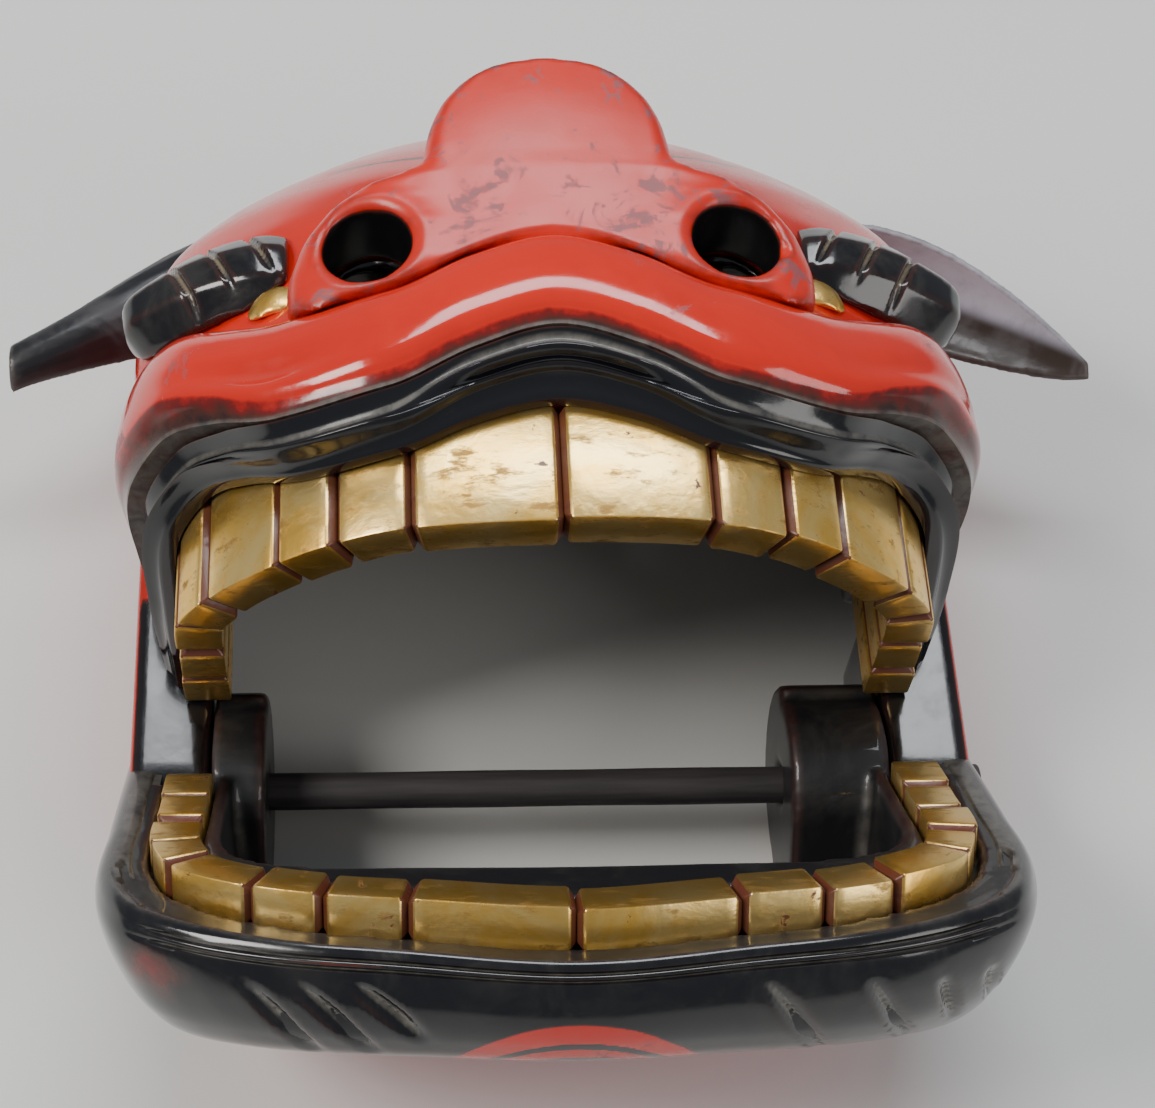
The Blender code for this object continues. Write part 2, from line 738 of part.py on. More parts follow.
# Rod
rod_end = CHEEK_HALF + ROD_STUB
cylinder("jaw_rod", ROD_RADIUS, -CHEEK_HALF, rod_end, head_frame, sides=ROD_SIDES, surface=rod_wood)

# Teeth of the upper row
teeth("upper_tooth", upper_line, UPPER_TEETH, BITE, HEM - GAP, head_frame, gold_leaf)

# Jaw: a horseshoe block with a seat for the teeth, a ledge inside them and two lugs
jaw_rows = [
    (back * JAW_DEPTH, front * JAW_DEPTH, half * JAW_HALF, reach * JAW_REACH, JAW_HEEL)
    for back, front, half, reach in JAW_LAYERS
]
jaw = layers("jaw", LOWER_PLAN, LOWER_LAST, jaw_rows, jaw_frame, black_lacquer)
seat = inside_row("tooth_seat", lower_line, TOOTH_SLACK, TOOTH_FOOT, 2 * BITE, hollow_back, jaw_frame)
boolean(jaw, seat, "DIFFERENCE")
ledge_out = -TOOTH_THICK - TOOTH_SLACK
ledge = inside_row("ledge", lower_line, ledge_out, -TOOTH_FOOT, JAW_LEDGE, LOWER_LAST, jaw_frame)
boolean(jaw, ledge, "UNION")
pocket_rows = [
    (back * JAW_DEPTH, front * JAW_DEPTH, half * JAW_POCKET, reach * JAW_POCKET_REACH, hollow_back)
    for back, front, half, reach in POCKET_LAYERS
]
boolean(jaw, layers("pocket", POCKET_PLAN, LOWER_LAST, pocket_rows, jaw_frame), "DIFFERENCE")
lug_outer = plate_inner - 2 * GAP
lug_root = LOWER_LAST + LUG_TRIM
lug_outline = [(TOOTH_FOOT - LUG_TRIM, lug_root), *outline_arc(LUG_NECK, LUG_NECK_FROM, LUG_NECK_TO, 8)]
lug_outline += outline_arc(LUG_RADIUS, LUG_ROUND_FROM, LUG_ROUND_TO, 12)
lug_outline.append((-LUG_BOTTOM, JAW_HEEL))
lug_outline.append((LUG_FOOT - LUG_BOTTOM, lug_root))
for side, sign, inner in (("left", -1, LEFT_LUG_INNER), ("right", 1, RIGHT_LUG_INNER)):
    lug = slab(f"lug_{side}", lug_outline, sign * inner, sign * (lug_outer + LUG_TRIM), jaw_frame)
    boolean(jaw, lug, "UNION")
swing_end = math.degrees(math.acos(CHEEK_FRONT / CHEEK_SWING))
swing = outline_arc(CHEEK_SWING, -swing_end, swing_end, 8)
room_outline = [(2 * LIP_TOP, hollow_back), (-LIP_TOP, hollow_back), (-LIP_TOP, CHEEK_FRONT), *swing]
room_outline.append((2 * LIP_TOP, CHEEK_FRONT))
for side, sign in (("left", -1), ("right", 1)):
    room = slab(f"cheek_room_{side}", room_outline, sign * lug_outer, sign * 2 * CHEEK_HALF, jaw_frame)
    boolean(jaw, room, "DIFFERENCE")
boolean(jaw, jaw_bore, "DIFFERENCE")

# Teeth of the jaw
teeth("lower_tooth", lower_line, LOWER_TEETH, TOOTH_FOOT + GAP, BITE - BACKLASH, jaw_frame, gold_leaf)
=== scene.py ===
import math

import bmesh
import bpy
import numpy as np
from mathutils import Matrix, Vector


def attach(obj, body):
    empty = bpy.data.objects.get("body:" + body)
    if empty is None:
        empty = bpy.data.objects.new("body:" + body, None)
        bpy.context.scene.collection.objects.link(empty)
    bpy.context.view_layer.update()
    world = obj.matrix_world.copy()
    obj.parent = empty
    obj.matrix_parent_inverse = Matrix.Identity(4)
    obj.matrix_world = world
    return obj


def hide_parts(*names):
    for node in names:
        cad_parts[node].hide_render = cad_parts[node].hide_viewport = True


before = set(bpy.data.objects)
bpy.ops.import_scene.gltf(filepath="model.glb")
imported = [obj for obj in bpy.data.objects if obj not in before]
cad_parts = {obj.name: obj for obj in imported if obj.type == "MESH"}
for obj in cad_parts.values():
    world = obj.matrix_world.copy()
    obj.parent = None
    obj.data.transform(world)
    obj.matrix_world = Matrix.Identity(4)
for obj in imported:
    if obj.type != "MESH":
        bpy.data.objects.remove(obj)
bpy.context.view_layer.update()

# Studio: the head lies on its open back on a pale floor. The camera looks down into the mouth from the
# chin side, sixty degrees above the floor, and wide soft lights stand in for an open sky.
ROD = Vector((-0.0055, -0.059, 0.038))
CAMERA_FROM_ROD = Vector((-0.046, -0.330, 0.728))
CAMERA_TILT = math.radians(30)
CAMERA_ROLL = math.radians(-0.8)
CAMERA_LENS = 74.8
CAMERA_SHIFT = 0.150
camera = bpy.data.objects.new("camera", bpy.data.cameras.new("camera"))
bpy.context.scene.collection.objects.link(camera)
camera.location = ROD + CAMERA_FROM_ROD
camera.rotation_euler = (CAMERA_TILT, 0.0, 0.0)
camera.rotation_euler.rotate_axis("Z", CAMERA_ROLL)
camera.data.lens = CAMERA_LENS
camera.data.sensor_width = 36
camera.data.sensor_fit = "HORIZONTAL"
camera.data.shift_x = CAMERA_SHIFT
camera.data.clip_start = 0.05
bpy.context.scene.camera = camera


def node(tree, kind, values=None, **settings):
    """Add a shader node with its own values and settings."""
    made = tree.nodes.new(kind)
    for key, value in settings.items():
        setattr(made, key, value)
    for key, value in (values or {}).items():
        made.inputs[key].default_value = value
    return made


def new_material(name):
    """Material with one Principled shader; returns it, its tree and the shader."""
    made = bpy.data.materials.new(name)
    made.use_nodes = True
    return made, made.node_tree, made.node_tree.nodes["Principled BSDF"]


def area_light(name, place, aim, size, power, color):
    """Soft rectangular lamp at a place, turned to a point."""
    lamp = bpy.data.objects.new(name, bpy.data.lights.new(name, "AREA"))
    bpy.context.scene.collection.objects.link(lamp)
    lamp.data.shape = "RECTANGLE"
    lamp.data.size, lamp.data.size_y = size
    lamp.data.energy = power
    lamp.data.color = color
    lamp.location = place
    lamp.rotation_euler = (Vector(aim) - Vector(place)).to_track_quat("-Z", "Y").to_euler()


FLOOR_SIZE = 9.0
PAPER_DARK = (0.66, 0.66, 0.64, 1)
PAPER_LIGHT = (0.70, 0.70, 0.68, 1)
PAPER_ROUGH = 0.8
bpy.ops.mesh.primitive_plane_add(size=FLOOR_SIZE, location=(0, 0, 0))
floor = bpy.context.object
floor.name = "floor"
floor_paper, tree, shader = new_material("floor_paper")
coords = node(tree, "ShaderNodeTexCoord")
cloud = node(tree, "ShaderNodeTexNoise", {"Scale": 3.0, "Detail": 3.0})
tint = node(tree, "ShaderNodeMix", {"A": PAPER_DARK, "B": PAPER_LIGHT}, data_type="RGBA")
tree.links.new(coords.outputs["Object"], cloud.inputs["Vector"])
tree.links.new(cloud.outputs["Fac"], tint.inputs["Factor"])
tree.links.new(tint.outputs["Result"], shader.inputs["Base Color"])
shader.inputs["Roughness"].default_value = PAPER_ROUGH
floor.data.materials.append(floor_paper)

SKY_COLOR = (0.80, 0.86, 0.95, 1)
SKY_STRENGTH = 0.27
# name, place, where it points, size, watts, colour
LAMPS = (
    ("sky_back", (0.10, 0.85, 1.55), (0.0, 0.02, 0.12), (1.2, 0.55), 22, (0.93, 0.96, 1.0)),
    ("key_left", (-1.0, -0.2, 1.3), (0.0, 0.0, 0.08), (0.6, 0.6), 18, (1.0, 0.97, 0.92)),
    ("fill_right", (1.2, -0.7, 0.9), (0.0, 0.0, 0.1), (0.8, 0.8), 8, (1.0, 0.98, 0.95)),
)
sky = bpy.data.worlds.new("sky")
bpy.context.scene.world = sky
sky.use_nodes = True
sky.node_tree.nodes["Background"].inputs["Color"].default_value = SKY_COLOR
sky.node_tree.nodes["Background"].inputs["Strength"].default_value = SKY_STRENGTH
for lamp in LAMPS:
    area_light(*lamp)

# Lacquer: black lacquer over the whole carving and vermilion over that, both glossy. It is rubbed through
# to brown on sharp edges, mottled grey where it has worn, and holds grey dust in the grooves.
BLACK = (0.006, 0.006, 0.0075, 1)
BROWN_RUB = (0.060, 0.018, 0.012, 1)
OLD_RED = (0.15, 0.010, 0.008, 1)
VERMILION = (0.62, 0.021, 0.008, 1)
DEEP_RED = (0.42, 0.013, 0.007, 1)
GREY_WEAR = (0.17, 0.075, 0.085, 1)
DUST = (0.17, 0.155, 0.13, 1)
RAW_WOOD = (0.36, 0.27, 0.17, 1)
# the coats between black and vermilion, each with its place on the scale of "red"
COATS = ((0.42, BROWN_RUB), (0.54, OLD_RED), (0.64, DEEP_RED))
BLACK_UP_TO = 0.26
VERMILION_FROM = 0.74
DULL = 0.55
COAT_ROUGH = 0.06


def new_group(name, inputs, outputs):
    """Node group with float inputs, given with their values, and float outputs."""
    group = bpy.data.node_groups.new(name, "ShaderNodeTree")
    for key, value in inputs.items():
        socket = group.interface.new_socket(key, in_out="INPUT", socket_type="NodeSocketFloat")
        socket.default_value = value
    for key in outputs:
        group.interface.new_socket(key, in_out="OUTPUT", socket_type="NodeSocketFloat")
    return group, node(group, "NodeGroupInput"), node(group, "NodeGroupOutput")


# Patches of wear: large soft islands broken up by finer ones.
patches, enter, leave = new_group("patches", {"Scale": 20.0, "Cover": 0.6, "Soft": 0.05}, ("Mask",))
coords = node(patches, "ShaderNodeTexCoord")
islands = node(patches, "ShaderNodeTexNoise", {"Detail": 9.0, "Roughness": 0.68, "Distortion": 0.6})
low = node(patches, "ShaderNodeMath", operation="SUBTRACT")
high = node(patches, "ShaderNodeMath", operation="ADD")
step = node(patches, "ShaderNodeMapRange", interpolation_type="SMOOTHSTEP")
patches.links.new(coords.outputs["Object"], islands.inputs["Vector"])
patches.links.new(enter.outputs["Scale"], islands.inputs["Scale"])
for bound in (low, high):
    patches.links.new(enter.outputs["Cover"], bound.inputs[0])
    patches.links.new(enter.outputs["Soft"], bound.inputs[1])
patches.links.new(islands.outputs["Fac"], step.inputs["Value"])
patches.links.new(low.outputs[0], step.inputs["From Min"])
patches.links.new(high.outputs[0], step.inputs["From Max"])
patches.links.new(step.outputs["Result"], leave.inputs["Mask"])

# Relief of the carving: where the surface is hollow or sharp, broken up by a fine noise.
relief, enter, leave = new_group("relief", {"From": 60.0, "To": 260.0, "Break": 0.5}, ("Hollow", "Edge"))
coords = node(relief, "ShaderNodeTexCoord")
grit = node(relief, "ShaderNodeTexNoise", {"Scale": 260.0, "Detail": 5.0})
shape = node(relief, "ShaderNodeAttribute", attribute_name="hollow")
relief.links.new(coords.outputs["Object"], grit.inputs["Vector"])
spread = node(
    relief, "ShaderNodeMapRange", {"From Min": 0.35, "From Max": 0.65, "To Min": 1.0, "To Max": 0.0},
)
relief.links.new(grit.outputs["Fac"], spread.inputs["Value"])
keep = node(relief, "ShaderNodeMath", {0: 1.0}, operation="SUBTRACT")
loss = node(relief, "ShaderNodeMath", operation="MULTIPLY")
relief.links.new(enter.outputs["Break"], loss.inputs[0])
relief.links.new(spread.outputs["Result"], loss.inputs[1])
relief.links.new(loss.outputs[0], keep.inputs[1])
for outlet, sign in (("Hollow", 1.0), ("Edge", -1.0)):
    turn = node(relief, "ShaderNodeMath", {1: sign}, operation="MULTIPLY")
    range_ = node(relief, "ShaderNodeMapRange", interpolation_type="SMOOTHSTEP")
    cut = node(relief, "ShaderNodeMath", operation="MULTIPLY")
    relief.links.new(shape.outputs["Fac"], turn.inputs[0])
    relief.links.new(turn.outputs[0], range_.inputs["Value"])
    relief.links.new(enter.outputs["From"], range_.inputs["From Min"])
    relief.links.new(enter.outputs["To"], range_.inputs["From Max"])
    relief.links.new(range_.outputs["Result"], cut.inputs[0])
    relief.links.new(keep.outputs[0], cut.inputs[1])
    relief.links.new(cut.outputs[0], leave.inputs[outlet])


def use_group(tree, group, values):
    """Place a shared effect in a material with its own values."""
    made = node(tree, "ShaderNodeGroup", node_tree=group)
    for key, value in values.items():
        made.inputs[key].default_value = value
    return made


def paint_over(tree, under, color, mask, outlet, most=1.0):
    """Colour laid over another where a mask is high; returns the new colour's socket."""
    layer = node(tree, "ShaderNodeMix", {"B": color}, data_type="RGBA")
    strength = node(tree, "ShaderNodeMath", {1: most}, operation="MULTIPLY")
    tree.links.new(mask.outputs[outlet], strength.inputs[0])
    tree.links.new(strength.outputs[0], layer.inputs["Factor"])
    if isinstance(under, tuple):
        layer.inputs["A"].default_value = under
    else:
        tree.links.new(under, layer.inputs["A"])
    return layer.outputs["Result"]


def lacquer(name, worn, dust, gloss, scuff=0.0, islet=26.0, coat=0.35):
    """Black and red lacquer; the attributes "red", "cut" and "dusty" say where red, wood and dust show."""
    made, tree, shader = new_material(name)
    coords = node(tree, "ShaderNodeTexCoord")
    red = node(tree, "ShaderNodeAttribute", attribute_name="red")
    ragged = node(tree, "ShaderNodeTexNoise", {"Scale": 90.0, "Detail": 7.0, "Roughness": 0.65})
    wander = node(
        tree, "ShaderNodeMapRange", {"From Min": 0.3, "From Max": 0.7, "To Min": -0.11, "To Max": 0.11},
    )
    shown = node(tree, "ShaderNodeMath", operation="ADD")
    tree.links.new(coords.outputs["Object"], ragged.inputs["Vector"])
    tree.links.new(ragged.outputs["Fac"], wander.inputs["Value"])
    tree.links.new(red.outputs["Fac"], shown.inputs[0])
    tree.links.new(wander.outputs["Result"], shown.inputs[1])
    coats = node(tree, "ShaderNodeValToRGB")
    stops = coats.color_ramp.elements
    stops[0].position, stops[0].color = BLACK_UP_TO, BLACK
    stops[1].position, stops[1].color = VERMILION_FROM, VERMILION
    for place, color in COATS:
        stops.new(place).color = color
    tree.links.new(shown.outputs[0], coats.inputs["Fac"])
    is_red = node(tree, "ShaderNodeMapRange", {"From Min": 0.55, "From Max": 0.75})
    tree.links.new(red.outputs["Fac"], is_red.inputs["Value"])

    # thin and thick places of the top coat, then grey worn islands on the red
    depth = use_group(tree, patches, {"Scale": 9.0, "Cover": 0.52, "Soft": 0.16})
    depth_red = node(tree, "ShaderNodeMath", operation="MULTIPLY")
    tree.links.new(depth.outputs["Mask"], depth_red.inputs[0])
    tree.links.new(is_red.outputs["Result"], depth_red.inputs[1])
    color = paint_over(tree, coats.outputs["Color"], DEEP_RED, depth_red, 0, most=0.40)
    islands = use_group(tree, patches, {"Scale": islet, "Cover": worn, "Soft": 0.035})
    worn_red = node(tree, "ShaderNodeMath", operation="MULTIPLY")
    tree.links.new(islands.outputs["Mask"], worn_red.inputs[0])
    tree.links.new(is_red.outputs["Result"], worn_red.inputs[1])
    color = paint_over(tree, color, GREY_WEAR, worn_red, 0, most=0.78)

    carving = use_group(tree, relief, {"From": 70.0, "To": 330.0, "Break": 0.5})
    color = paint_over(tree, color, BROWN_RUB, carving, "Edge", most=0.55)
    color = paint_over(tree, color, DUST, carving, "Hollow", most=dust)

    # dust that lies where the attribute says, bare wood in the cuts, and a film where hands rub
    settled = node(tree, "ShaderNodeAttribute", attribute_name="dusty")
    powder = use_group(tree, patches, {"Scale": 160.0, "Cover": 0.47, "Soft": 0.22})
    lying = node(tree, "ShaderNodeMath", operation="MULTIPLY")
    tree.links.new(settled.outputs["Fac"], lying.inputs[0])
    tree.links.new(powder.outputs["Mask"], lying.inputs[1])
    color = paint_over(tree, color, DUST, lying, 0, most=dust)
    bare = node(tree, "ShaderNodeAttribute", attribute_name="cut")
    color = paint_over(tree, color, RAW_WOOD, bare, "Fac", most=0.75)
    film = use_group(tree, patches, {"Scale": 38.0, "Cover": 0.56, "Soft": 0.10})
    if scuff:
        color = paint_over(tree, color, DUST, film, "Mask", most=scuff)
    tree.links.new(color, shader.inputs["Base Color"])

    dull = node(tree, "ShaderNodeMath", operation="MAXIMUM")
    tree.links.new(worn_red.outputs[0], dull.inputs[0])
    tree.links.new(settled.outputs["Fac"], dull.inputs[1])
    hand = node(tree, "ShaderNodeMath", {1: 0.25}, operation="MULTIPLY")
    tree.links.new(film.outputs["Mask"], hand.inputs[0])
    rough = node(tree, "ShaderNodeMath", operation="ADD", use_clamp=True)
    tree.links.new(dull.outputs[0], rough.inputs[0])
    tree.links.new(hand.outputs[0], rough.inputs[1])
    sheen = node(tree, "ShaderNodeMapRange", {"To Min": gloss, "To Max": DULL})
    tree.links.new(rough.outputs[0], sheen.inputs["Value"])
    tree.links.new(sheen.outputs["Result"], shader.inputs["Roughness"])

    brush = node(tree, "ShaderNodeTexNoise", {"Scale": 34.0, "Detail": 2.0})
    pits = node(tree, "ShaderNodeTexNoise", {"Scale": 420.0, "Detail": 3.0})
    tree.links.new(coords.outputs["Object"], brush.inputs["Vector"])
    tree.links.new(coords.outputs["Object"], pits.inputs["Vector"])
    swell = node(tree, "ShaderNodeBump", {"Strength": 0.22, "Distance": 0.0016})
    fine = node(tree, "ShaderNodeBump", {"Strength": 0.10, "Distance": 0.0003})
    tree.links.new(brush.outputs["Fac"], swell.inputs["Height"])
    tree.links.new(pits.outputs["Fac"], fine.inputs["Height"])
    tree.links.new(swell.outputs["Normal"], fine.inputs["Normal"])
    tree.links.new(fine.outputs["Normal"], shader.inputs["Normal"])
    shader.inputs["Coat Weight"].default_value = coat
    shader.inputs["Coat Roughness"].default_value = COAT_ROUGH
    return made


# Head shell: light wood carved hollow from the back, red outside and black inside, open at the back and
# below. Its two cheek plates run down to the rod; their front faces are black with a thin red edge. A short
# black line is painted on each side of the forehead.
CHEEK_HALF = 0.136
HEM = 0.060
HEM_BLEND = 0.004
HOLLOW_MIDDLE = ROD + Vector((0.0, 0.10, -0.02))
# a pair holds where a change begins and where it is full
DOME_FOOT = (HEM + 0.020, HEM + 0.040)
DOME_FRONT = (-0.036, -0.026)
DOME_LEVELS = 4
DOME_ROUNDS = 70
PAINTED_HEIGHT = 0.187
PAINTED_HALF = 0.0016
PAINTED_DEPTH = 0.62
PAINTED_START = (0.030, 0.036)
PAINTED_END = (0.066, 0.074)
NOSTRIL_RADIUS = 0.0135
NOSTRIL_SIDE = 0.056
NOSTRIL_HEIGHT = 0.1145


def alone(piece):
    """Make one piece the only one selected, and the active one."""
    bpy.ops.object.select_all(action="DESELECT")
    bpy.context.view_layer.objects.active = piece
    piece.select_set(True)


def rub_smooth(piece, rounds, group=""):
    """Rub a piece smooth all over, or only where a vertex group of it says."""
    rub = piece.modifiers.new("rub", "SMOOTH")
    rub.factor = 0.5
    rub.iterations = rounds
    rub.vertex_group = group
    alone(piece)
    bpy.ops.object.modifier_apply(modifier="rub")


def carved_copy(name, cad_name, grain, rounds):
    """Copy of a CAD solid, merged, worked over at a fine grain and rubbed smooth."""
    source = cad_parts[cad_name]
    piece = bpy.data.objects.new(name, source.data.copy())
    bpy.context.scene.collection.objects.link(piece)
    piece.data.materials.clear()
    alone(piece)
    bpy.ops.object.mode_set(mode="EDIT")
    bpy.ops.mesh.select_all(action="SELECT")
    bpy.ops.mesh.remove_doubles(threshold=0.00001)
    bpy.ops.object.mode_set(mode="OBJECT")
    chips = piece.modifiers.new("chips", "REMESH")
    chips.mode = "VOXEL"
    chips.voxel_size = grain
    bpy.ops.object.modifier_apply(modifier="chips")
    rub_smooth(piece, rounds)
    bpy.ops.object.shade_smooth()
    return piece


def points_of(piece):
    """Places and normals of a piece's vertices, as two arrays."""
    count = len(piece.data.vertices)
    places = np.empty(count * 3)
    normals = np.empty(count * 3)
    piece.data.vertices.foreach_get("co", places)
    piece.data.vertices.foreach_get("normal", normals)
    return places.reshape(-1, 3), normals.reshape(-1, 3)


def note(piece, name, values):
    """Keep a number at each vertex for the material."""
    kept = piece.data.attributes.new(name, "FLOAT", "POINT")
    kept.data.foreach_set("value", np.ascontiguousarray(values, dtype=np.float32))


def note_relief(piece, rounds=2):
    """Keep how hollow or, below zero, how sharp the surface is at each vertex, as one over a radius."""
    places, normals = points_of(piece)
    ends = np.empty(len(piece.data.edges) * 2, dtype=np.int32)
    piece.data.edges.foreach_get("vertices", ends)
    first, second = ends.reshape(-1, 2).T
    count = np.zeros(len(places))
    np.add.at(count, first, 1)
    np.add.at(count, second, 1)
    total = np.zeros_like(places)
    np.add.at(total, first, places[second])
    np.add.at(total, second, places[first])
    span = np.zeros(len(places))
    length = ((places[first] - places[second]) ** 2).sum(axis=1)
    np.add.at(span, first, length)
    np.add.at(span, second, length)
    count = np.maximum(count, 1)
    lift = ((total / count[:, None] - places) * normals).sum(axis=1)
    curve = 4 * lift / np.maximum(span / count, 1e-9)
    for _ in range(rounds):
        total = np.zeros(len(places))
        np.add.at(total, first, curve[second])
        np.add.at(total, second, curve[first])
        curve = 0.4 * curve + 0.6 * total / count
    note(piece, "hollow", curve)


def ramp(values, low, high):
    """Smooth step from 0 at one value to 1 at another."""
    share = np.clip((values - low) / (high - low), 0.0, 1.0)
    return share * share * (3 - 2 * share)


def head_local(places):
    """Across, up the head and forward, measured from the rod."""
    return places[:, 0] - ROD.x, places[:, 1] - ROD.y, places[:, 2] - ROD.z


def dress(piece, body, slot, *nodes):
    """Ride a piece on its body and let it stand for its CAD nodes; its slot is not used."""
    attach(piece, body)
    if nodes:
        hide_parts(*nodes)


head_lacquer = lacquer("head_lacquer", worn=0.66, dust=0.45, gloss=0.16)
head = carved_copy("head_carved", "head_shell", grain=0.0019, rounds=10)
places, normals = points_of(head)
across, up, forward = head_local(places)
outward = places - np.array(HOLLOW_MIDDLE)
facing = (outward * normals).sum(axis=1) / np.linalg.norm(outward, axis=1)
outside = ramp(facing, -0.05, 0.25)
dome = outside * ramp(up, *DOME_FOOT) * ramp(forward, *DOME_FRONT)
group = head.vertex_groups.new(name="dome")
for level in range(1, DOME_LEVELS + 1):
    chosen = np.flatnonzero(np.round(dome * DOME_LEVELS) == level)
    group.add(chosen.tolist(), level / DOME_LEVELS, "REPLACE")
rub_smooth(head, DOME_ROUNDS, "dome")
normals = points_of(head)[1]
side = ramp(np.abs(across), CHEEK_HALF - 0.0035, CHEEK_HALF - 0.0005)
cheek = 1 - ramp(up, HEM - HEM_BLEND, HEM + HEM_BLEND)
red = outside * (1 - cheek) + side * ramp(np.abs(normals[:, 0]), 0.35, 0.8) * cheek
red *= 1 - ramp(-normals[:, 2], 0.6, 0.9)
painted = np.exp(-((up - PAINTED_HEIGHT) / PAINTED_HALF) ** 2) * ramp(np.abs(across), *PAINTED_START)
red -= PAINTED_DEPTH * painted * (1 - ramp(np.abs(across), *PAINTED_END))
from_nostril = np.hypot(np.abs(across) - NOSTRIL_SIDE, up - NOSTRIL_HEIGHT)
red *= ramp(from_nostril, NOSTRIL_RADIUS, NOSTRIL_RADIUS + 0.004)
note(head, "red", red)
note_relief(head)
head.data.materials.append(head_lacquer)
dress(head, "head", "red_lacquer", "head_shell")

# Upper lip: a thick red roll under the nose and round the cheeks, over a black inner lip with a polished
# ridge and, in the middle, a second arched ridge above the front teeth. Both are carved and lacquered.
TOOTH_ROW = 0.118
MUZZLE = 0.140
CHEEK_FRONT = 0.024
LIP_TOP = 0.112
UPPER_LAST = 0.024
LIP_DEPTH = 0.019
BLACK_LIP_DEPTH = 0.016
GAP = 0.0003
UPPER_PLAN = (
    (0.00, 0.000, 1.000), (0.20, 0.398, 0.966), (0.32, 0.610, 0.872), (0.44, 0.788, 0.735),
    (0.52, 0.890, 0.632), (0.62, 0.985, 0.487), (0.78, 1.000, 0.260), (1.00, 1.000, 0.000),
)
# along the row, then as shares of the lip's top: lower edge, black to red, top; then share of depth
UPPER_LIP = (
    (0.00, 0.525, 0.690, 1.025, 0.95), (0.12, 0.480, 0.630, 0.970, 0.93), (0.24, 0.402, 0.535, 0.880, 0.90),
    (0.40, 0.397, 0.518, 0.868, 0.95), (0.51, 0.460, 0.575, 0.920, 1.10), (0.61, 0.490, 0.610, 0.985, 1.20),
    (0.73, 0.420, 0.560, 0.985, 1.08), (0.86, 0.320, 0.530, 0.985, 0.94), (1.00, 0.240, 0.500, 0.985, 0.66),
)
# step, depth share, height share from the teeth up to the red
BLACK_SIDE = (
    (0, 0.26, 0.00), (1, 0.32, 0.04), (2, 0.36, 0.09), (3, 0.42, 0.14), (4, 0.52, 0.19), (5, 0.66, 0.24),
    (6, 0.80, 0.29), (7, 0.90, 0.34), (8, 0.90, 0.39), (9, 0.80, 0.44), (10, 0.72, 0.50), (11, 0.69, 0.58),
    (12, 0.70, 0.67), (13, 0.76, 0.78), (14, 0.85, 0.89), (15, 0.95, 1.00),
)
BLACK_MIDDLE = (
    (0, 0.26, 0.00), (1, 0.34, 0.08), (2, 0.38, 0.18), (3, 0.44, 0.26), (4, 0.54, 0.34), (5, 0.68, 0.385),
    (6, 0.75, 0.42), (7, 0.68, 0.455), (8, 0.64, 0.485), (9, 0.70, 0.525), (10, 0.84, 0.565),
    (11, 0.97, 0.61), (12, 1.00, 0.66), (13, 0.87, 0.73), (14, 0.82, 0.85), (15, 0.95, 1.00),
)
RED_SECTION = (
    (0, 0.80, 0.00), (1, 0.83, 0.06), (2, 0.88, 0.12), (3, 0.96, 0.18), (4, 1.02, 0.26), (5, 1.03, 0.38),
    (6, 1.00, 0.52), (7, 0.95, 0.66), (8, 0.87, 0.79), (9, 0.74, 0.90), (10, 0.58, 0.97), (11, 0.42, 1.00),
)
# shares along the row from the middle: where the arch ends, and where the lip grows thin on the cheek
ARCH_ENDS = (0.10, 0.27)
CHEEK_STARTS = (0.40, 0.58)
CHEEK_THINNER = 0.34
LIP_FRONT_STEP = 5
GROOVE_MIDDLE = 0.80
GROOVE_LOWER = 0.20
# across, how deep
RED_FOLDS = ((-0.096, 0.0030), (0.106, 0.0016))
FOLD_HALF = 0.022
FOLD_SHARE = 0.40
FOLD_TALL = 0.11


def read(rows, key):
    """Read a table at a key in its first column, on a smooth curve through the rows."""
    keys = [row[0] for row in rows]
    key = min(max(key, keys[0]), keys[-1])
    i = max(k for k in range(len(keys) - 1) if keys[k] <= key)
    before, here, there, after = rows[max(i - 1, 0)], rows[i], rows[i + 1], rows[min(i + 2, len(rows) - 1)]
    span = there[0] - here[0]
    t = (key - here[0]) / span
    values = []
    for column in range(1, len(here)):
        slope_here = (there[column] - before[column]) / (there[0] - before[0])
        slope_there = (after[column] - here[column]) / (after[0] - here[0])
        values.append(
            here[column] * (2 * t ** 3 - 3 * t ** 2 + 1) + slope_here * span * (t ** 3 - 2 * t ** 2 + t)
            + there[column] * (3 * t ** 2 - 2 * t ** 3) + slope_there * span * (t ** 3 - t ** 2)
        )
    return values


class ToothLine:
    """Plan curve of the outer faces of a row of teeth, measured along from the middle."""

    def __init__(self, plan, half_width, reach, last, steps=192):
        whole = ((-plan[1][0], -plan[1][1], plan[1][2]),) + plan
        self.points, self.runs = [], [0.0]
        for i in range(steps + 1):
            across, forward = read(whole, plan[-1][0] * i / steps)
            self.points.append((across * half_width, last + forward * (reach - last)))
            if i:
                self.runs.append(self.runs[-1] + math.dist(self.points[-1], self.points[-2]))
        self.length = self.runs[-1]

    def point(self, run):
        """Point at a signed distance from the middle, to the right for a positive one."""
        distance = abs(run)
        i = min(int(np.searchsorted(self.runs, distance, side="right")) - 1, len(self.points) - 2)
        t = (distance - self.runs[i]) / (self.runs[i + 1] - self.runs[i])
        x = self.points[i][0] + t * (self.points[i + 1][0] - self.points[i][0])
        z = self.points[i][1] + t * (self.points[i + 1][1] - self.points[i][1])
        return math.copysign(x, run), z

    def place(self, run, out, height):
        """Point beside the line, moved outwards and to a height."""
        reach = 0.01 * self.length
        ahead, behind = self.point(run + reach), self.point(run - reach)
        length = math.dist(ahead, behind)
        x, z = self.point(run)
        normal_x = (behind[1] - ahead[1]) / length
        normal_z = (ahead[0] - behind[0]) / length
        return x + out * normal_x, height, z + out * normal_z


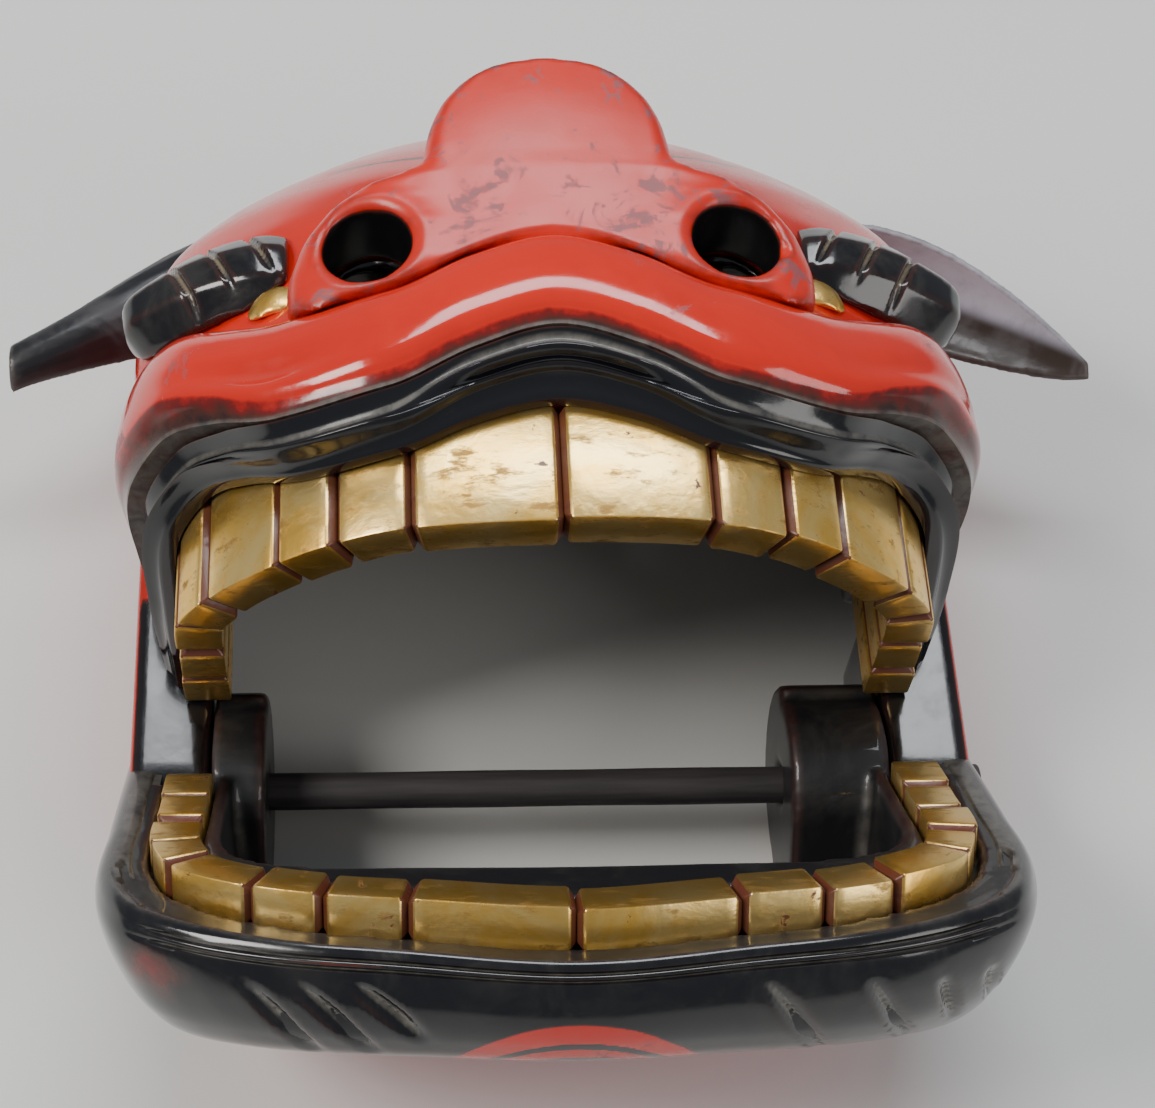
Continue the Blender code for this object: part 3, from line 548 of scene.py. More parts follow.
def closed_sweep(name, rings, to_world):
    """Skin closed rings one after another, cap both ends and turn the faces outwards."""
    bm = bmesh.new()
    rows = [[bm.verts.new(to_world(point)) for point in ring] for ring in rings]
    count = len(rows[0])
    for lower, upper in zip(rows, rows[1:]):
        for i in range(count):
            j = (i + 1) % count
            bm.faces.new((lower[i], lower[j], upper[j], upper[i]))
    bm.faces.new(rows[0])
    bm.faces.new(rows[-1])
    bm.normal_update()
    bmesh.ops.recalc_face_normals(bm, faces=bm.faces)
    mesh = bpy.data.meshes.new(name)
    bm.to_mesh(mesh)
    bm.free()
    piece = bpy.data.objects.new(name, mesh)
    bpy.context.scene.collection.objects.link(piece)
    alone(piece)
    bpy.ops.object.shade_smooth_by_angle(angle=math.radians(50))
    return piece


def from_head(point):
    """Head's own place to the world."""
    return ROD + Vector(point)


upper_line = ToothLine(UPPER_PLAN, TOOTH_ROW, MUZZLE, UPPER_LAST)
LIP_STATIONS = 130
SECTION_POINTS = 46


def lip(name, section_at, from_column, to_column, depth, seam):
    """Lip swept round the upper row between two edges of the lip table; returns it and its coordinates."""
    mirrored = ((-UPPER_LIP[1][0],) + UPPER_LIP[1][1:],) + UPPER_LIP
    reach = upper_line.length - (CHEEK_FRONT + GAP - UPPER_LAST)
    rings, shares = [], []
    for i in range(2 * LIP_STATIONS + 1):
        run = reach * (i / LIP_STATIONS - 1)
        values = read(mirrored, abs(run) / upper_line.length)
        low, high = values[from_column] * LIP_TOP + seam, values[to_column] * LIP_TOP
        section = section_at(abs(run) / upper_line.length)
        ring = [upper_line.place(run, GAP, low)]
        shares.append((run / upper_line.length, 0.0))
        for k in range(SECTION_POINTS + 1):
            out, share = read(section, section[-1][0] * k / SECTION_POINTS)
            ring.append(upper_line.place(run, out * values[3] * depth, low + share * (high - low)))
            shares.append((run / upper_line.length, share))
        ring.append(upper_line.place(run, GAP, high))
        shares.append((run / upper_line.length, 1.0))
        rings.append(ring)
    return closed_sweep(name, rings, from_head), np.array(shares)


def black_section(along):
    """Section of the black lip: two ridges in the middle, one at the sides, lower along the cheeks."""
    side = float(ramp(np.array(along), *ARCH_ENDS))
    back = 1 - CHEEK_THINNER * float(ramp(np.array(along), *CHEEK_STARTS))
    rows = []
    for k, (middle, cheek) in enumerate(zip(BLACK_MIDDLE, BLACK_SIDE)):
        out = middle[1] + (cheek[1] - middle[1]) * side
        height = middle[2] + (cheek[2] - middle[2]) * side
        rows.append((k, out * (back if k > LIP_FRONT_STEP else 1), height))
    return rows


def move_points(piece, places):
    """Put a piece's vertices at new places."""
    piece.data.vertices.foreach_set("co", places.ravel())
    piece.data.update()


lip_lacquer = lacquer("lip_lacquer", worn=0.63, dust=0.60, gloss=0.11)
black_lip, shares = lip("lip_black", black_section, 0, 1, BLACK_LIP_DEPTH, 0.0)
along, share = np.abs(shares[:, 0]), shares[:, 1]
groove = GROOVE_MIDDLE - GROOVE_LOWER * ramp(along, *ARCH_ENDS)
in_groove = ramp(share, groove - 0.05, groove + 0.03) * (1 - ramp(share, groove + 0.08, groove + 0.15))
note(black_lip, "red", 0.40 * ramp(share, 0.93, 1.0))
note(black_lip, "dusty", in_groove)
note_relief(black_lip)
black_lip.data.materials.append(lip_lacquer)
dress(black_lip, "head", "black_lacquer", "upper_lip_black")

red_lip, shares = lip("lip_red", lambda along: RED_SECTION, 1, 2, LIP_DEPTH, 0.001)
along, share = np.abs(shares[:, 0]), shares[:, 1]
band = 0.10 + 0.13 * ramp(along, 0.35, 0.60)
red = 0.36 + 0.20 * ramp(share, 0.0, band) + 0.44 * ramp(share, band, band + 0.07)
red *= 1 - 0.8 * ramp(along, 0.88, 0.94)
note(red_lip, "red", red)
note(red_lip, "dusty", 1 - ramp(share, 0.0, 0.05))
places, normals = points_of(red_lip)
for fold_x, deep in RED_FOLDS:
    fold = np.exp(-((places[:, 0] - fold_x) / FOLD_HALF) ** 2 - ((share - FOLD_SHARE) / FOLD_TALL) ** 2)
    places -= normals * (deep * fold)[:, None]
move_points(red_lip, places)
note_relief(red_lip)
red_lip.data.materials.append(lip_lacquer)
dress(red_lip, "head", "red_lacquer", "upper_lip_red")

# Nose: broad and red, a round ball between two wings, with a nostril bored through each wing. Its face
# is rubbed and mottled grey round the nostrils, whose bores are black.
NOSE_HALF = 0.081
NOSE_TOP = 0.184
NOSE_FOOT = 0.078
NOSE_FACE = 0.152
NOSE_SLOPE = 0.011
BALL_HALF = 0.045
BALL_TALL = 0.034
BALL_AT = 0.150
BALL_RISE = 0.0015
NOSTRIL_RIM = 0.0006
CHIP_FROM_NOSTRIL = (0.0135, -0.002)
CHIP_DEEP = 0.0016
# half width of the face, as a share, at shares of the nose's height
NOSE_EDGE = (
    (0.0, 0.09, 0.14, 0.21, 0.29, 0.41, 0.51, 0.575, 0.605, 0.63, 0.775, 0.855, 0.925, 0.972, 1.0),
    (0.40, 0.72, 0.86, 0.90, 0.90, 0.855, 0.765, 0.648, 0.522, 0.436, 0.41, 0.37, 0.297, 0.198, 0.0),
)
nose_lacquer = lacquer("nose_lacquer", worn=0.575, dust=0.35, gloss=0.33, islet=72.0, coat=0.06)
nose = carved_copy("nose_carved", "nose", grain=0.0014, rounds=24)
places, normals = points_of(nose)
across, up, forward = head_local(places)
ring = np.hypot(np.abs(across) - NOSTRIL_SIDE, up - NOSTRIL_HEIGHT)
edge = np.interp((up - NOSE_FOOT) / (NOSE_TOP - NOSE_FOOT), *NOSE_EDGE)
fall = NOSE_SLOPE * edge ** 2
face = ramp(forward, NOSE_FACE - fall - 0.011, NOSE_FACE - fall - 0.003)
places[:, 2] += face * np.clip(fall - NOSE_SLOPE * (across / NOSE_HALF) ** 2, 0.0, None)
level = ROD.z + NOSE_FACE - NOSE_SLOPE * (across / NOSE_HALF) ** 2 - 0.0005
middle = ramp(normals[:, 2], 0.85, 0.95) * face * (1 - ramp(np.abs(across), 0.028, 0.038))
places[:, 2] += 0.9 * middle * (level - places[:, 2])
places[:, 2] += NOSTRIL_RIM * face * np.exp(-((ring - NOSTRIL_RADIUS - 0.0040) / 0.0030) ** 2)
ball = 1 - (across / BALL_HALF) ** 2 - ((up - BALL_AT) / BALL_TALL) ** 2
places[:, 2] += BALL_RISE * face * ramp(ball, 0.0, 1.0)
chip_side, chip_up = CHIP_FROM_NOSTRIL
chip = np.hypot(across - NOSTRIL_SIDE - chip_side, up - NOSTRIL_HEIGHT - chip_up)
places[:, 2] -= CHIP_DEEP * face * (1 - ramp(chip, 0.0015, 0.0040))
move_points(nose, places)
bore = 1 - ramp(ring, NOSTRIL_RADIUS - 0.0004, NOSTRIL_RADIUS + 0.0010)
note(nose, "red", 1 - 0.95 * bore)
note_relief(nose)
nose.data.materials.append(nose_lacquer)
dress(nose, "head", "red_lacquer", "nose")

# Teeth: square blocks carved side by side, gilded with leaf over a maroon ground that shows in the
# grooves between them and where the leaf is rubbed off.
TOOTH_THICK = 0.015
BITE = 0.020
BACKLASH = 0.0008
TOOTH_FOOT = 0.005
GROOVE_WALL = 0.0021
LOWER_ROW = 0.1225
LOWER_LAST = 0.028
LOWER_PLAN = (
    (0.00, 0.000, 1.000), (0.18, 0.384, 0.935), (0.29, 0.604, 0.890), (0.39, 0.790, 0.815),
    (0.49, 0.935, 0.700), (0.60, 0.998, 0.520), (0.78, 1.000, 0.270), (1.00, 1.000, 0.000),
)
UPPER_TEETH = (0.228, 0.125, 0.108, 0.165, 0.098, 0.095, 0.093, 0.088)
LOWER_TEETH = (0.235, 0.122, 0.108, 0.155, 0.090, 0.092, 0.095, 0.103)
JAW_OPENING = math.radians(45.4)
GOLD = (0.93, 0.54, 0.10, 1)
# pale gold, painted on in patches as highlights
GOLD_PAINTED_HIGHLIGHT = (1.0, 0.73, 0.29, 1)
RUBBED_GOLD = (0.24, 0.125, 0.035, 1)
BOLE = (0.085, 0.011, 0.010, 1)
TOOTH_PIECE = 0.004
WORN_EDGE = 0.0006
LEVEL = 1e-6

gold_leaf, tree, shader = new_material("gold_leaf_worn")
coords = node(tree, "ShaderNodeTexCoord")
stretch = node(tree, "ShaderNodeMapping", {"Scale": (0.35, 1.0, 1.0)})
tree.links.new(coords.outputs["Object"], stretch.inputs["Vector"])
# pale patches scattered at random over the leaf are painted highlights
highlight_patches = use_group(tree, patches, {"Scale": 30.0, "Cover": 0.50, "Soft": 0.14})
color = paint_over(tree, GOLD, GOLD_PAINTED_HIGHLIGHT, highlight_patches, "Mask", most=0.85)
streaks = node(tree, "ShaderNodeTexNoise", {"Scale": 190.0, "Detail": 8.0, "Roughness": 0.7})
tree.links.new(stretch.outputs["Vector"], streaks.inputs["Vector"])
rubbed = node(
    tree, "ShaderNodeMapRange", {"From Min": 0.53, "From Max": 0.66}, interpolation_type="SMOOTHSTEP",
)
tree.links.new(streaks.outputs["Fac"], rubbed.inputs["Value"])
color = paint_over(tree, color, RUBBED_GOLD, rubbed, "Result", most=0.75)
bite = node(tree, "ShaderNodeAttribute", attribute_name="bite")
color = paint_over(tree, color, RUBBED_GOLD, bite, "Fac", most=0.35)
specks = use_group(tree, patches, {"Scale": 120.0, "Cover": 0.66, "Soft": 0.02})
groove = node(tree, "ShaderNodeAttribute", attribute_name="bole")
frayed = node(tree, "ShaderNodeMath", operation="MAXIMUM")
tree.links.new(specks.outputs["Mask"], frayed.inputs[0])
tree.links.new(groove.outputs["Fac"], frayed.inputs[1])
color = paint_over(tree, color, BOLE, frayed, 0, most=0.95)
tree.links.new(color, shader.inputs["Base Color"])
leaf_left = node(tree, "ShaderNodeMapRange", {"To Min": 0.90, "To Max": 0.0})
tree.links.new(frayed.outputs[0], leaf_left.inputs["Value"])
tree.links.new(leaf_left.outputs["Result"], shader.inputs["Metallic"])
gleam = node(tree, "ShaderNodeMapRange", {"To Min": 0.30, "To Max": 0.58})
tree.links.new(rubbed.outputs["Result"], gleam.inputs["Value"])
tree.links.new(gleam.outputs["Result"], shader.inputs["Roughness"])
knife = node(tree, "ShaderNodeTexNoise", {"Scale": 60.0, "Detail": 5.0, "Distortion": 0.5})
tree.links.new(coords.outputs["Object"], knife.inputs["Vector"])
swell = node(tree, "ShaderNodeBump", {"Strength": 0.35, "Distance": 0.0014})
fine = node(tree, "ShaderNodeBump", {"Strength": 0.35, "Distance": 0.0003})
tree.links.new(knife.outputs["Fac"], swell.inputs["Height"])
tree.links.new(streaks.outputs["Fac"], fine.inputs["Height"])
tree.links.new(swell.outputs["Normal"], fine.inputs["Normal"])
tree.links.new(fine.outputs["Normal"], shader.inputs["Normal"])


def from_jaw(point):
    """Jaw's own place to the world, with the jaw dropped open."""
    x, up, forward = point
    return ROD + Vector((
        x,
        up * math.cos(JAW_OPENING) - forward * math.sin(JAW_OPENING),
        up * math.sin(JAW_OPENING) + forward * math.cos(JAW_OPENING),
    ))


def choose_edges(bm, test):
    """Select the edges of an edit mesh whose ends pass a test, and only them."""
    bpy.ops.mesh.select_all(action="DESELECT")
    bpy.ops.mesh.select_mode(type="EDGE")
    for edge in bm.edges:
        edge.select = test(edge.verts[0].co, edge.verts[1].co)
    bm.select_flush_mode()


def tooth(name, line, start, end, low, high, back, to_world):
    """Square tooth: a block with its groove walls cut back and worn edges, bent onto the row."""
    width, height = end - start, high - low
    bpy.ops.object.select_all(action="DESELECT")
    bpy.ops.mesh.primitive_cube_add(size=1.0, location=(0, 0, 0))
    block = bpy.context.object
    block.name = name
    bpy.ops.object.mode_set(mode="EDIT")
    bpy.ops.transform.resize(value=(width, TOOTH_THICK, height))
    bm = bmesh.from_edit_mesh(block.data)
    choose_edges(bm, lambda a, b: abs(a.x - b.x) < LEVEL)
    bpy.ops.mesh.bevel(offset=GROOVE_WALL, segments=1)
    bm = bmesh.from_edit_mesh(block.data)
    choose_edges(bm, lambda a, b: abs(a.x - b.x) > 0.6 * width)
    bpy.ops.mesh.subdivide(number_cuts=max(2, round(width / TOOTH_PIECE)))
    bpy.ops.mesh.select_all(action="SELECT")
    bm = bmesh.from_edit_mesh(block.data)
    bm.normal_update()
    bpy.ops.mesh.select_all(action="DESELECT")
    for edge in bm.edges:
        edge.select = len(edge.link_faces) == 2 and edge.calc_face_angle(0.0) > math.radians(30)
    bpy.ops.mesh.bevel(offset=WORN_EDGE, segments=2)
    bpy.ops.object.mode_set(mode="OBJECT")
    faces = block.data.polygons
    turned = np.array([face.normal[:] for face in faces])
    for key, axis in (("bole", 0), ("bite", 2)):
        kept = block.data.attributes.new(key, "FLOAT", "FACE")
        kept.data.foreach_set("value", (np.abs(turned[:, axis]) > 0.55).astype(np.float32))
    for vert in block.data.vertices:
        run = start + width / 2 + vert.co.x
        out = vert.co.y - TOOTH_THICK / 2 - back * (vert.co.y > 0)
        vert.co = to_world(line.place(run, out, low + height / 2 + vert.co.z))
    block.data.update()
    alone(block)
    bpy.ops.object.shade_smooth_by_angle(angle=math.radians(35))
    block.data.materials.append(gold_leaf)
    return block


# how far each tooth of one side stands back from its row, and how much its bite is worn down
STAND = (0.0000, 0.0007, 0.0001, 0.0005, 0.0012, 0.0002, 0.0011, 0.0003)
WORN = (0.0002, 0.0006, 0.0001, 0.0008, 0.0003, 0.0012, 0.0004, 0.0010)


def row_of_teeth(row, line, shares, low, high, to_world, body):
    """Both halves of a row, numbered from the middle, each tooth touching the next at its groove."""
    up = 1 if row == "upper_tooth" else -1
    for side, sign in (("left", -1), ("right", 1)):
        run = 0.0
        for number, share in enumerate(shares, 1):
            end = run + share * line.length
            start_run, end_run = sorted((sign * run, sign * end))
            name = f"{row}_{side}_{number}"
            back = STAND[number - 1 if sign > 0 else -number]
            worn = WORN[number - 1 if sign < 0 else -number]
            foot, bite = (low + worn, high) if up > 0 else (low, high - worn)
            made = tooth(f"gilt_{name}", line, start_run, end_run, foot, bite, back, to_world)
            dress(made, body, "gold_leaf", name)
            run = end


lower_line = ToothLine(LOWER_PLAN, LOWER_ROW, MUZZLE, LOWER_LAST)
row_of_teeth("upper_tooth", upper_line, UPPER_TEETH, BITE, HEM - GAP, from_head, "head")
row_of_teeth("lower_tooth", lower_line, LOWER_TEETH, TOOTH_FOOT + GAP, BITE - BACKLASH, from_jaw, "jaw")

# Brows: black lacquered rolls from beside the nose out over the cheeks, cut across by slanting strokes
# that show the bare wood. The gilded eyes hide under them.
STROKE_SLANT = 0.5
STROKE_LEVEL = 0.132
STROKE_HALF = 0.0016
STROKE_DEEP = 0.0024
# across, lower end
BROW_STROKES = ((0.088, 0.132), (0.103, 0.128), (0.117, 0.122))
brow_lacquer = lacquer("brow_lacquer", worn=0.7, dust=0.3, gloss=0.15, scuff=0.10)
for side, sign in (("left", -1), ("right", 1)):
    brow = carved_copy(f"brow_{side}_carved", f"brow_{side}", grain=0.0009, rounds=26)
    places, normals = points_of(brow)
    across, up, _ = head_local(places)
    bare = np.zeros(len(places))
    for cut_at, low in BROW_STROKES:
        away = sign * across - cut_at - STROKE_SLANT * (up - STROKE_LEVEL)
        stroke = np.clip(1 - np.abs(away) / STROKE_HALF, 0.0, 1.0) * ramp(up, low - 0.006, low + 0.006)
        places -= normals * (STROKE_DEEP * stroke * ramp(normals[:, 2], -0.1, 0.4))[:, None]
        bare = np.maximum(bare, ramp(stroke, 0.45, 0.9) * 0.8 * ramp(normals[:, 2], 0.1, 0.5))
    move_points(brow, places)
    note(brow, "red", np.zeros(len(places)))
    note(brow, "cut", bare)
    note_relief(brow)
    brow.data.materials.append(brow_lacquer)
    dress(brow, "head", "black_lacquer", f"brow_{side}")
    eye = carved_copy(f"eye_{side}_carved", f"eye_{side}", grain=0.0009, rounds=6)
    eye.data.materials.append(gold_leaf)
    dress(eye, "head", "gold_leaf", f"eye_{side}")

# Ears: thin black shells curled like leaves and pegged through the head. The right one stands open and
# shows its brown inside and a painted sky reflection on its upper rim; the left one is turned and rolled.
EAR_ROOT = 0.104
EAR_RUN = 0.090
EAR_HEIGHT = 0.190
EAR_FALL = 0.47
EAR_BLACK = (0.012, 0.012, 0.014, 1)
EAR_LINING = (0.034, 0.021, 0.014, 1)
# pale lilac painted on the right ear's upper rim as a reflection of the sky
EAR_PAINTED_REFLECTION = (0.46, 0.45, 0.51, 1)
EAR_RUBBED = (0.085, 0.080, 0.085, 1)
EAR_EDGE = (0.12, 0.10, 0.09, 1)
ear_skin, tree, shader = new_material("ear_skin")
coords = node(tree, "ShaderNodeTexCoord")
lining = node(tree, "ShaderNodeAttribute", attribute_name="lining")
color = paint_over(tree, EAR_BLACK, EAR_LINING, lining, "Fac")
# painted sky reflection laid over the upper rim
painted_reflection_mask = node(tree, "ShaderNodeAttribute", attribute_name="painted_reflection")
color = paint_over(tree, color, EAR_PAINTED_REFLECTION, painted_reflection_mask, "Fac", most=0.9)
rubs = use_group(tree, patches, {"Scale": 32.0, "Cover": 0.55, "Soft": 0.12})
color = paint_over(tree, color, EAR_RUBBED, rubs, "Mask", most=0.35)
carving = use_group(tree, relief, {"From": 80.0, "To": 400.0, "Break": 0.6})
color = paint_over(tree, color, EAR_EDGE, carving, "Edge", most=0.5)
tree.links.new(color, shader.inputs["Base Color"])
gleam = node(tree, "ShaderNodeMapRange", {"To Min": 0.30, "To Max": 0.60})
tree.links.new(rubs.outputs["Mask"], gleam.inputs["Value"])
tree.links.new(gleam.outputs["Result"], shader.inputs["Roughness"])
grain = node(tree, "ShaderNodeTexNoise", {"Scale": 240.0, "Detail": 6.0})
tree.links.new(coords.outputs["Object"], grain.inputs["Vector"])
fine = node(tree, "ShaderNodeBump", {"Strength": 0.3, "Distance": 0.0004})
tree.links.new(grain.outputs["Fac"], fine.inputs["Height"])
tree.links.new(fine.outputs["Normal"], shader.inputs["Normal"])
for side in ("left", "right"):
    ear = carved_copy(f"ear_{side}_carved", f"ear_{side}", grain=0.0008, rounds=8)
    places, normals = points_of(ear)
    across, up, _ = head_local(places)
    along = (np.abs(across) - EAR_ROOT) / EAR_RUN
    middle = EAR_HEIGHT - EAR_FALL * EAR_RUN * np.clip(along, 0.0, 1.0)
    inside = ramp(0.86 * normals[:, 2] - 0.5 * normals[:, 1], 0.0, 0.4) * (side == "right")
    # along the upper rim of the right ear's inside, the colour is a painted sky reflection
    rim = ramp(up - middle, -0.0010, 0.0040)
    note(ear, "lining", inside * (1 - rim))
    note(ear, "painted_reflection", inside * rim)
    note_relief(ear)
    ear.data.materials.append(ear_skin)
    dress(ear, "head", "ear_black", f"ear_{side}")

# Rod: a dark stick whittled round, on which the jaw hinges. It is pushed through both cheeks and both lugs
# of the jaw, and its end stands out of the right cheek.
ROD_RADIUS = 0.00615
ROD_STUB = 0.007
ROD_BEVEL = 0.0009
ROD_CUTS = 60
WHITTLED = 0.012
WHITTLE_WAVES = 95
BARK = (0.030, 0.025, 0.027, 1)
BARK_FIBRE = (0.085, 0.072, 0.073, 1)
BARK_ROUGH = 0.62
rod_bark, tree, shader = new_material("rod_bark")
coords = node(tree, "ShaderNodeTexCoord")
stretch = node(tree, "ShaderNodeMapping", {"Scale": (0.06, 1.0, 1.0)})
grain = node(tree, "ShaderNodeTexNoise", {"Scale": 420.0, "Detail": 6.0})
tree.links.new(coords.outputs["Object"], stretch.inputs["Vector"])
tree.links.new(stretch.outputs["Vector"], grain.inputs["Vector"])
fibre = node(tree, "ShaderNodeMapRange", {"From Min": 0.35, "From Max": 0.70})
tree.links.new(grain.outputs["Fac"], fibre.inputs["Value"])
color = paint_over(tree, BARK, BARK_FIBRE, fibre, "Result", most=0.5)
tree.links.new(color, shader.inputs["Base Color"])
shader.inputs["Roughness"].default_value = BARK_ROUGH
fine = node(tree, "ShaderNodeBump", {"Strength": 0.4, "Distance": 0.0004})
tree.links.new(grain.outputs["Fac"], fine.inputs["Height"])
tree.links.new(fine.outputs["Normal"], shader.inputs["Normal"])
bpy.ops.object.select_all(action="DESELECT")
rod_length = 2 * CHEEK_HALF + ROD_STUB
bpy.ops.mesh.primitive_cylinder_add(vertices=48, radius=ROD_RADIUS, depth=rod_length, location=(0, 0, 0))
rod = bpy.context.object
rod.name = "rod_carved"
bpy.ops.object.mode_set(mode="EDIT")
bm = bmesh.from_edit_mesh(rod.data)
choose_edges(bm, lambda a, b: abs(a.z - b.z) < LEVEL)
bpy.ops.mesh.bevel(offset=ROD_BEVEL, segments=3)
bm = bmesh.from_edit_mesh(rod.data)
choose_edges(bm, lambda a, b: abs(a.z - b.z) > 0.5 * rod_length)
bpy.ops.mesh.subdivide(number_cuts=ROD_CUTS)
bpy.ops.object.mode_set(mode="OBJECT")
for vert in rod.data.vertices:
    turn = 2 * math.atan2(vert.co.y, vert.co.x)
    thick = 1 - WHITTLED * (1 + math.sin(vert.co.z * WHITTLE_WAVES + turn))
    vert.co = ROD + Vector((vert.co.z + ROD_STUB / 2, vert.co.x * thick, vert.co.y * thick))
rod.data.update()
alone(rod)
bpy.ops.object.mode_set(mode="EDIT")
bpy.ops.mesh.select_all(action="SELECT")
bpy.ops.mesh.normals_make_consistent(inside=False)
bpy.ops.object.mode_set(mode="OBJECT")
bpy.ops.object.shade_smooth_by_angle(angle=math.radians(40))
rod.data.materials.append(rod_bark)
dress(rod, "head", "rod_wood", "jaw_rod")

# Jaw: carved from one block, black inside and in front, red below. Two lugs swing on the rod. Its front
# has a double groove under the lip, slanting beard strokes and an arched red patch on the chin.
JAW_HALF = 0.138
JAW_REACH = 0.154
JAW_DEPTH = 0.050
JAW_HEEL = -0.003
JAW_MIDDLE = (0.0, 0.0, 0.03)
JAW_WALL = 0.0022
SKIN = 0.0007
# step, then as shares of the jaw's depth: height at the hinge and in front; then half width, reach
JAW_SECTION = (
    (0.0, -1.00, -0.60, 0.600, 0.680), (1.0, -0.97, -0.58, 0.740, 0.820), (2.0, -0.86, -0.52, 0.850, 0.915),
    (3.0, -0.62, -0.36, 0.920, 0.970), (4.0, -0.32, -0.16, 0.968, 0.995), (5.0, -0.04, 0.00, 0.995, 1.000),
    (6.0, 0.16, 0.08, 0.995, 0.995), (7.0, 0.28, 0.15, 0.975, 0.982), (7.6, 0.29, 0.13, 0.930, 0.955),
    (8.2, 0.28, 0.125, 0.905, 0.925),
)
JAW_STATIONS = 150
JAW_RINGS = 92
# how far one step of the section runs on the chin
STEP_LENGTH = 0.0085
# step, half width in steps, depth
LIP_GROOVES = ((6.25, 0.16, 0.0011), (5.72, 0.18, 0.0013))
FRONT_ENDS = (0.112, 0.128)
# upper end across and step, lower end across and step
BEARD_STROKES = (
    (-0.092, 4.7, -0.070, 2.1), (-0.078, 4.9, -0.054, 2.3), (-0.062, 5.0, -0.041, 3.0),
    (0.050, 5.0, 0.072, 1.8), (0.080, 4.7, 0.097, 2.0), (0.102, 4.4, 0.110, 2.6), (0.118, 4.3, 0.122, 3.0),
)
BEARD_DEEP = 0.0030
BEARD_HALF = 0.0029
CHIN_HALF = 0.041
CHIN_FOOT = 0.4
CHIN_TALL = 3.5
CHIN_STRIPES = (0.30, 0.58)
# across, half width, step, half height in steps, how red
RUBBED_SPOTS = ((-0.118, 0.013, 4.5, 1.1, 0.56), (-0.066, 0.020, 5.97, 0.14, 0.54))
PUSHED_IN = 0.0028


def jaw_local(places):
    """Across, up and forward in the jaw's own frame."""
    y, z = places[:, 1] - ROD.y, places[:, 2] - ROD.z
    cos, sin = math.cos(JAW_OPENING), math.sin(JAW_OPENING)
    return places[:, 0] - ROD.x, y * cos + z * sin, z * cos - y * sin


jaw_lacquer = lacquer("jaw_lacquer", worn=0.60, dust=0.85, gloss=0.14, scuff=0.06)
grid = []
for i in range(JAW_RINGS + 1):
    step = JAW_SECTION[-1][0] * i / JAW_RINGS
    back, front, half, reach = read(JAW_SECTION, step)
    line = ToothLine(LOWER_PLAN, half * JAW_HALF, reach * JAW_REACH, LOWER_LAST)
    row = []
    for k in range(2 * JAW_STATIONS + 1):
        run = (line.length + LOWER_LAST - JAW_HEEL) * (k / JAW_STATIONS - 1)
        if abs(run) > line.length:
            x, z = math.copysign(half * JAW_HALF, run), LOWER_LAST - (abs(run) - line.length)
        else:
            x, z = line.point(run)
        share = min(max(z / (reach * JAW_REACH), 0.0), 1.0) ** 2
        row.append((x, (back + (front - back) * share) * JAW_DEPTH, z))
    grid.append(row)
grid = np.array(grid)
along_u = np.gradient(grid, axis=1)
along_t = np.gradient(grid, axis=0)
outwards = np.cross(along_u, along_t)
outwards /= np.linalg.norm(outwards, axis=2, keepdims=True)
outwards *= np.sign(((grid - np.array(JAW_MIDDLE)) * outwards).sum(axis=2))[:, :, None]
steps = np.linspace(0, JAW_SECTION[-1][0], JAW_RINGS + 1)[:, None] * np.ones(grid.shape[1])[None, :]
sideways = grid[:, :, 0]

# the skin stands a little proud of the jaw, and the grooves and the beard are cut into it
cut = SKIN * ramp(steps, 0.0, 0.4) * (1 - ramp(steps, 7.4, 8.1))
front_only = 1 - ramp(np.abs(sideways), *FRONT_ENDS)
for groove_at, groove_half, groove_deep in LIP_GROOVES:
    cut -= groove_deep * np.clip(1 - np.abs(steps - groove_at) / groove_half, 0, 1) * front_only
for from_x, from_step, to_x, to_step in BEARD_STROKES:
    away_x, away_t = sideways - from_x, (steps - from_step) * STEP_LENGTH
    run_x, run_t = to_x - from_x, (to_step - from_step) * STEP_LENGTH
    run = np.clip((away_x * run_x + away_t * run_t) / (run_x * run_x + run_t * run_t), 0, 1)
    away = np.hypot(away_x - run * run_x, away_t - run * run_t)
    cut -= BEARD_DEEP * np.sin(np.pi * np.clip(run, 0.03, 0.97)) * np.clip(1 - away / BEARD_HALF, 0, 1)
skin = grid + outwards * cut[:, :, None]

# red shows on the chin, below, on the flanks and where the black is rubbed thin
arch = (sideways / CHIN_HALF) ** 2 + ((steps - CHIN_FOOT) / CHIN_TALL) ** 2
stripes = np.minimum.reduce([np.abs(arch - level) for level in CHIN_STRIPES])
chin = (1 - ramp(arch, 0.90, 1.02)) * ramp(stripes, 0.03, 0.07)
below = 1 - ramp(steps, 1.1, 1.7)
flank = ramp(np.abs(sideways), 0.128, 0.136) * (1 - ramp(steps, 3.4, 4.2))
jaw_red = np.maximum.reduce([chin, below, flank])
rubbed = np.zeros_like(steps)
for spot_x, half_width, spot_step, half_height, how_red in RUBBED_SPOTS:
    near = ((sideways - spot_x) / half_width) ** 2 + ((steps - spot_step) / half_height) ** 2
    rubbed += how_red * np.exp(-near)
jaw_red = np.maximum(jaw_red, rubbed)

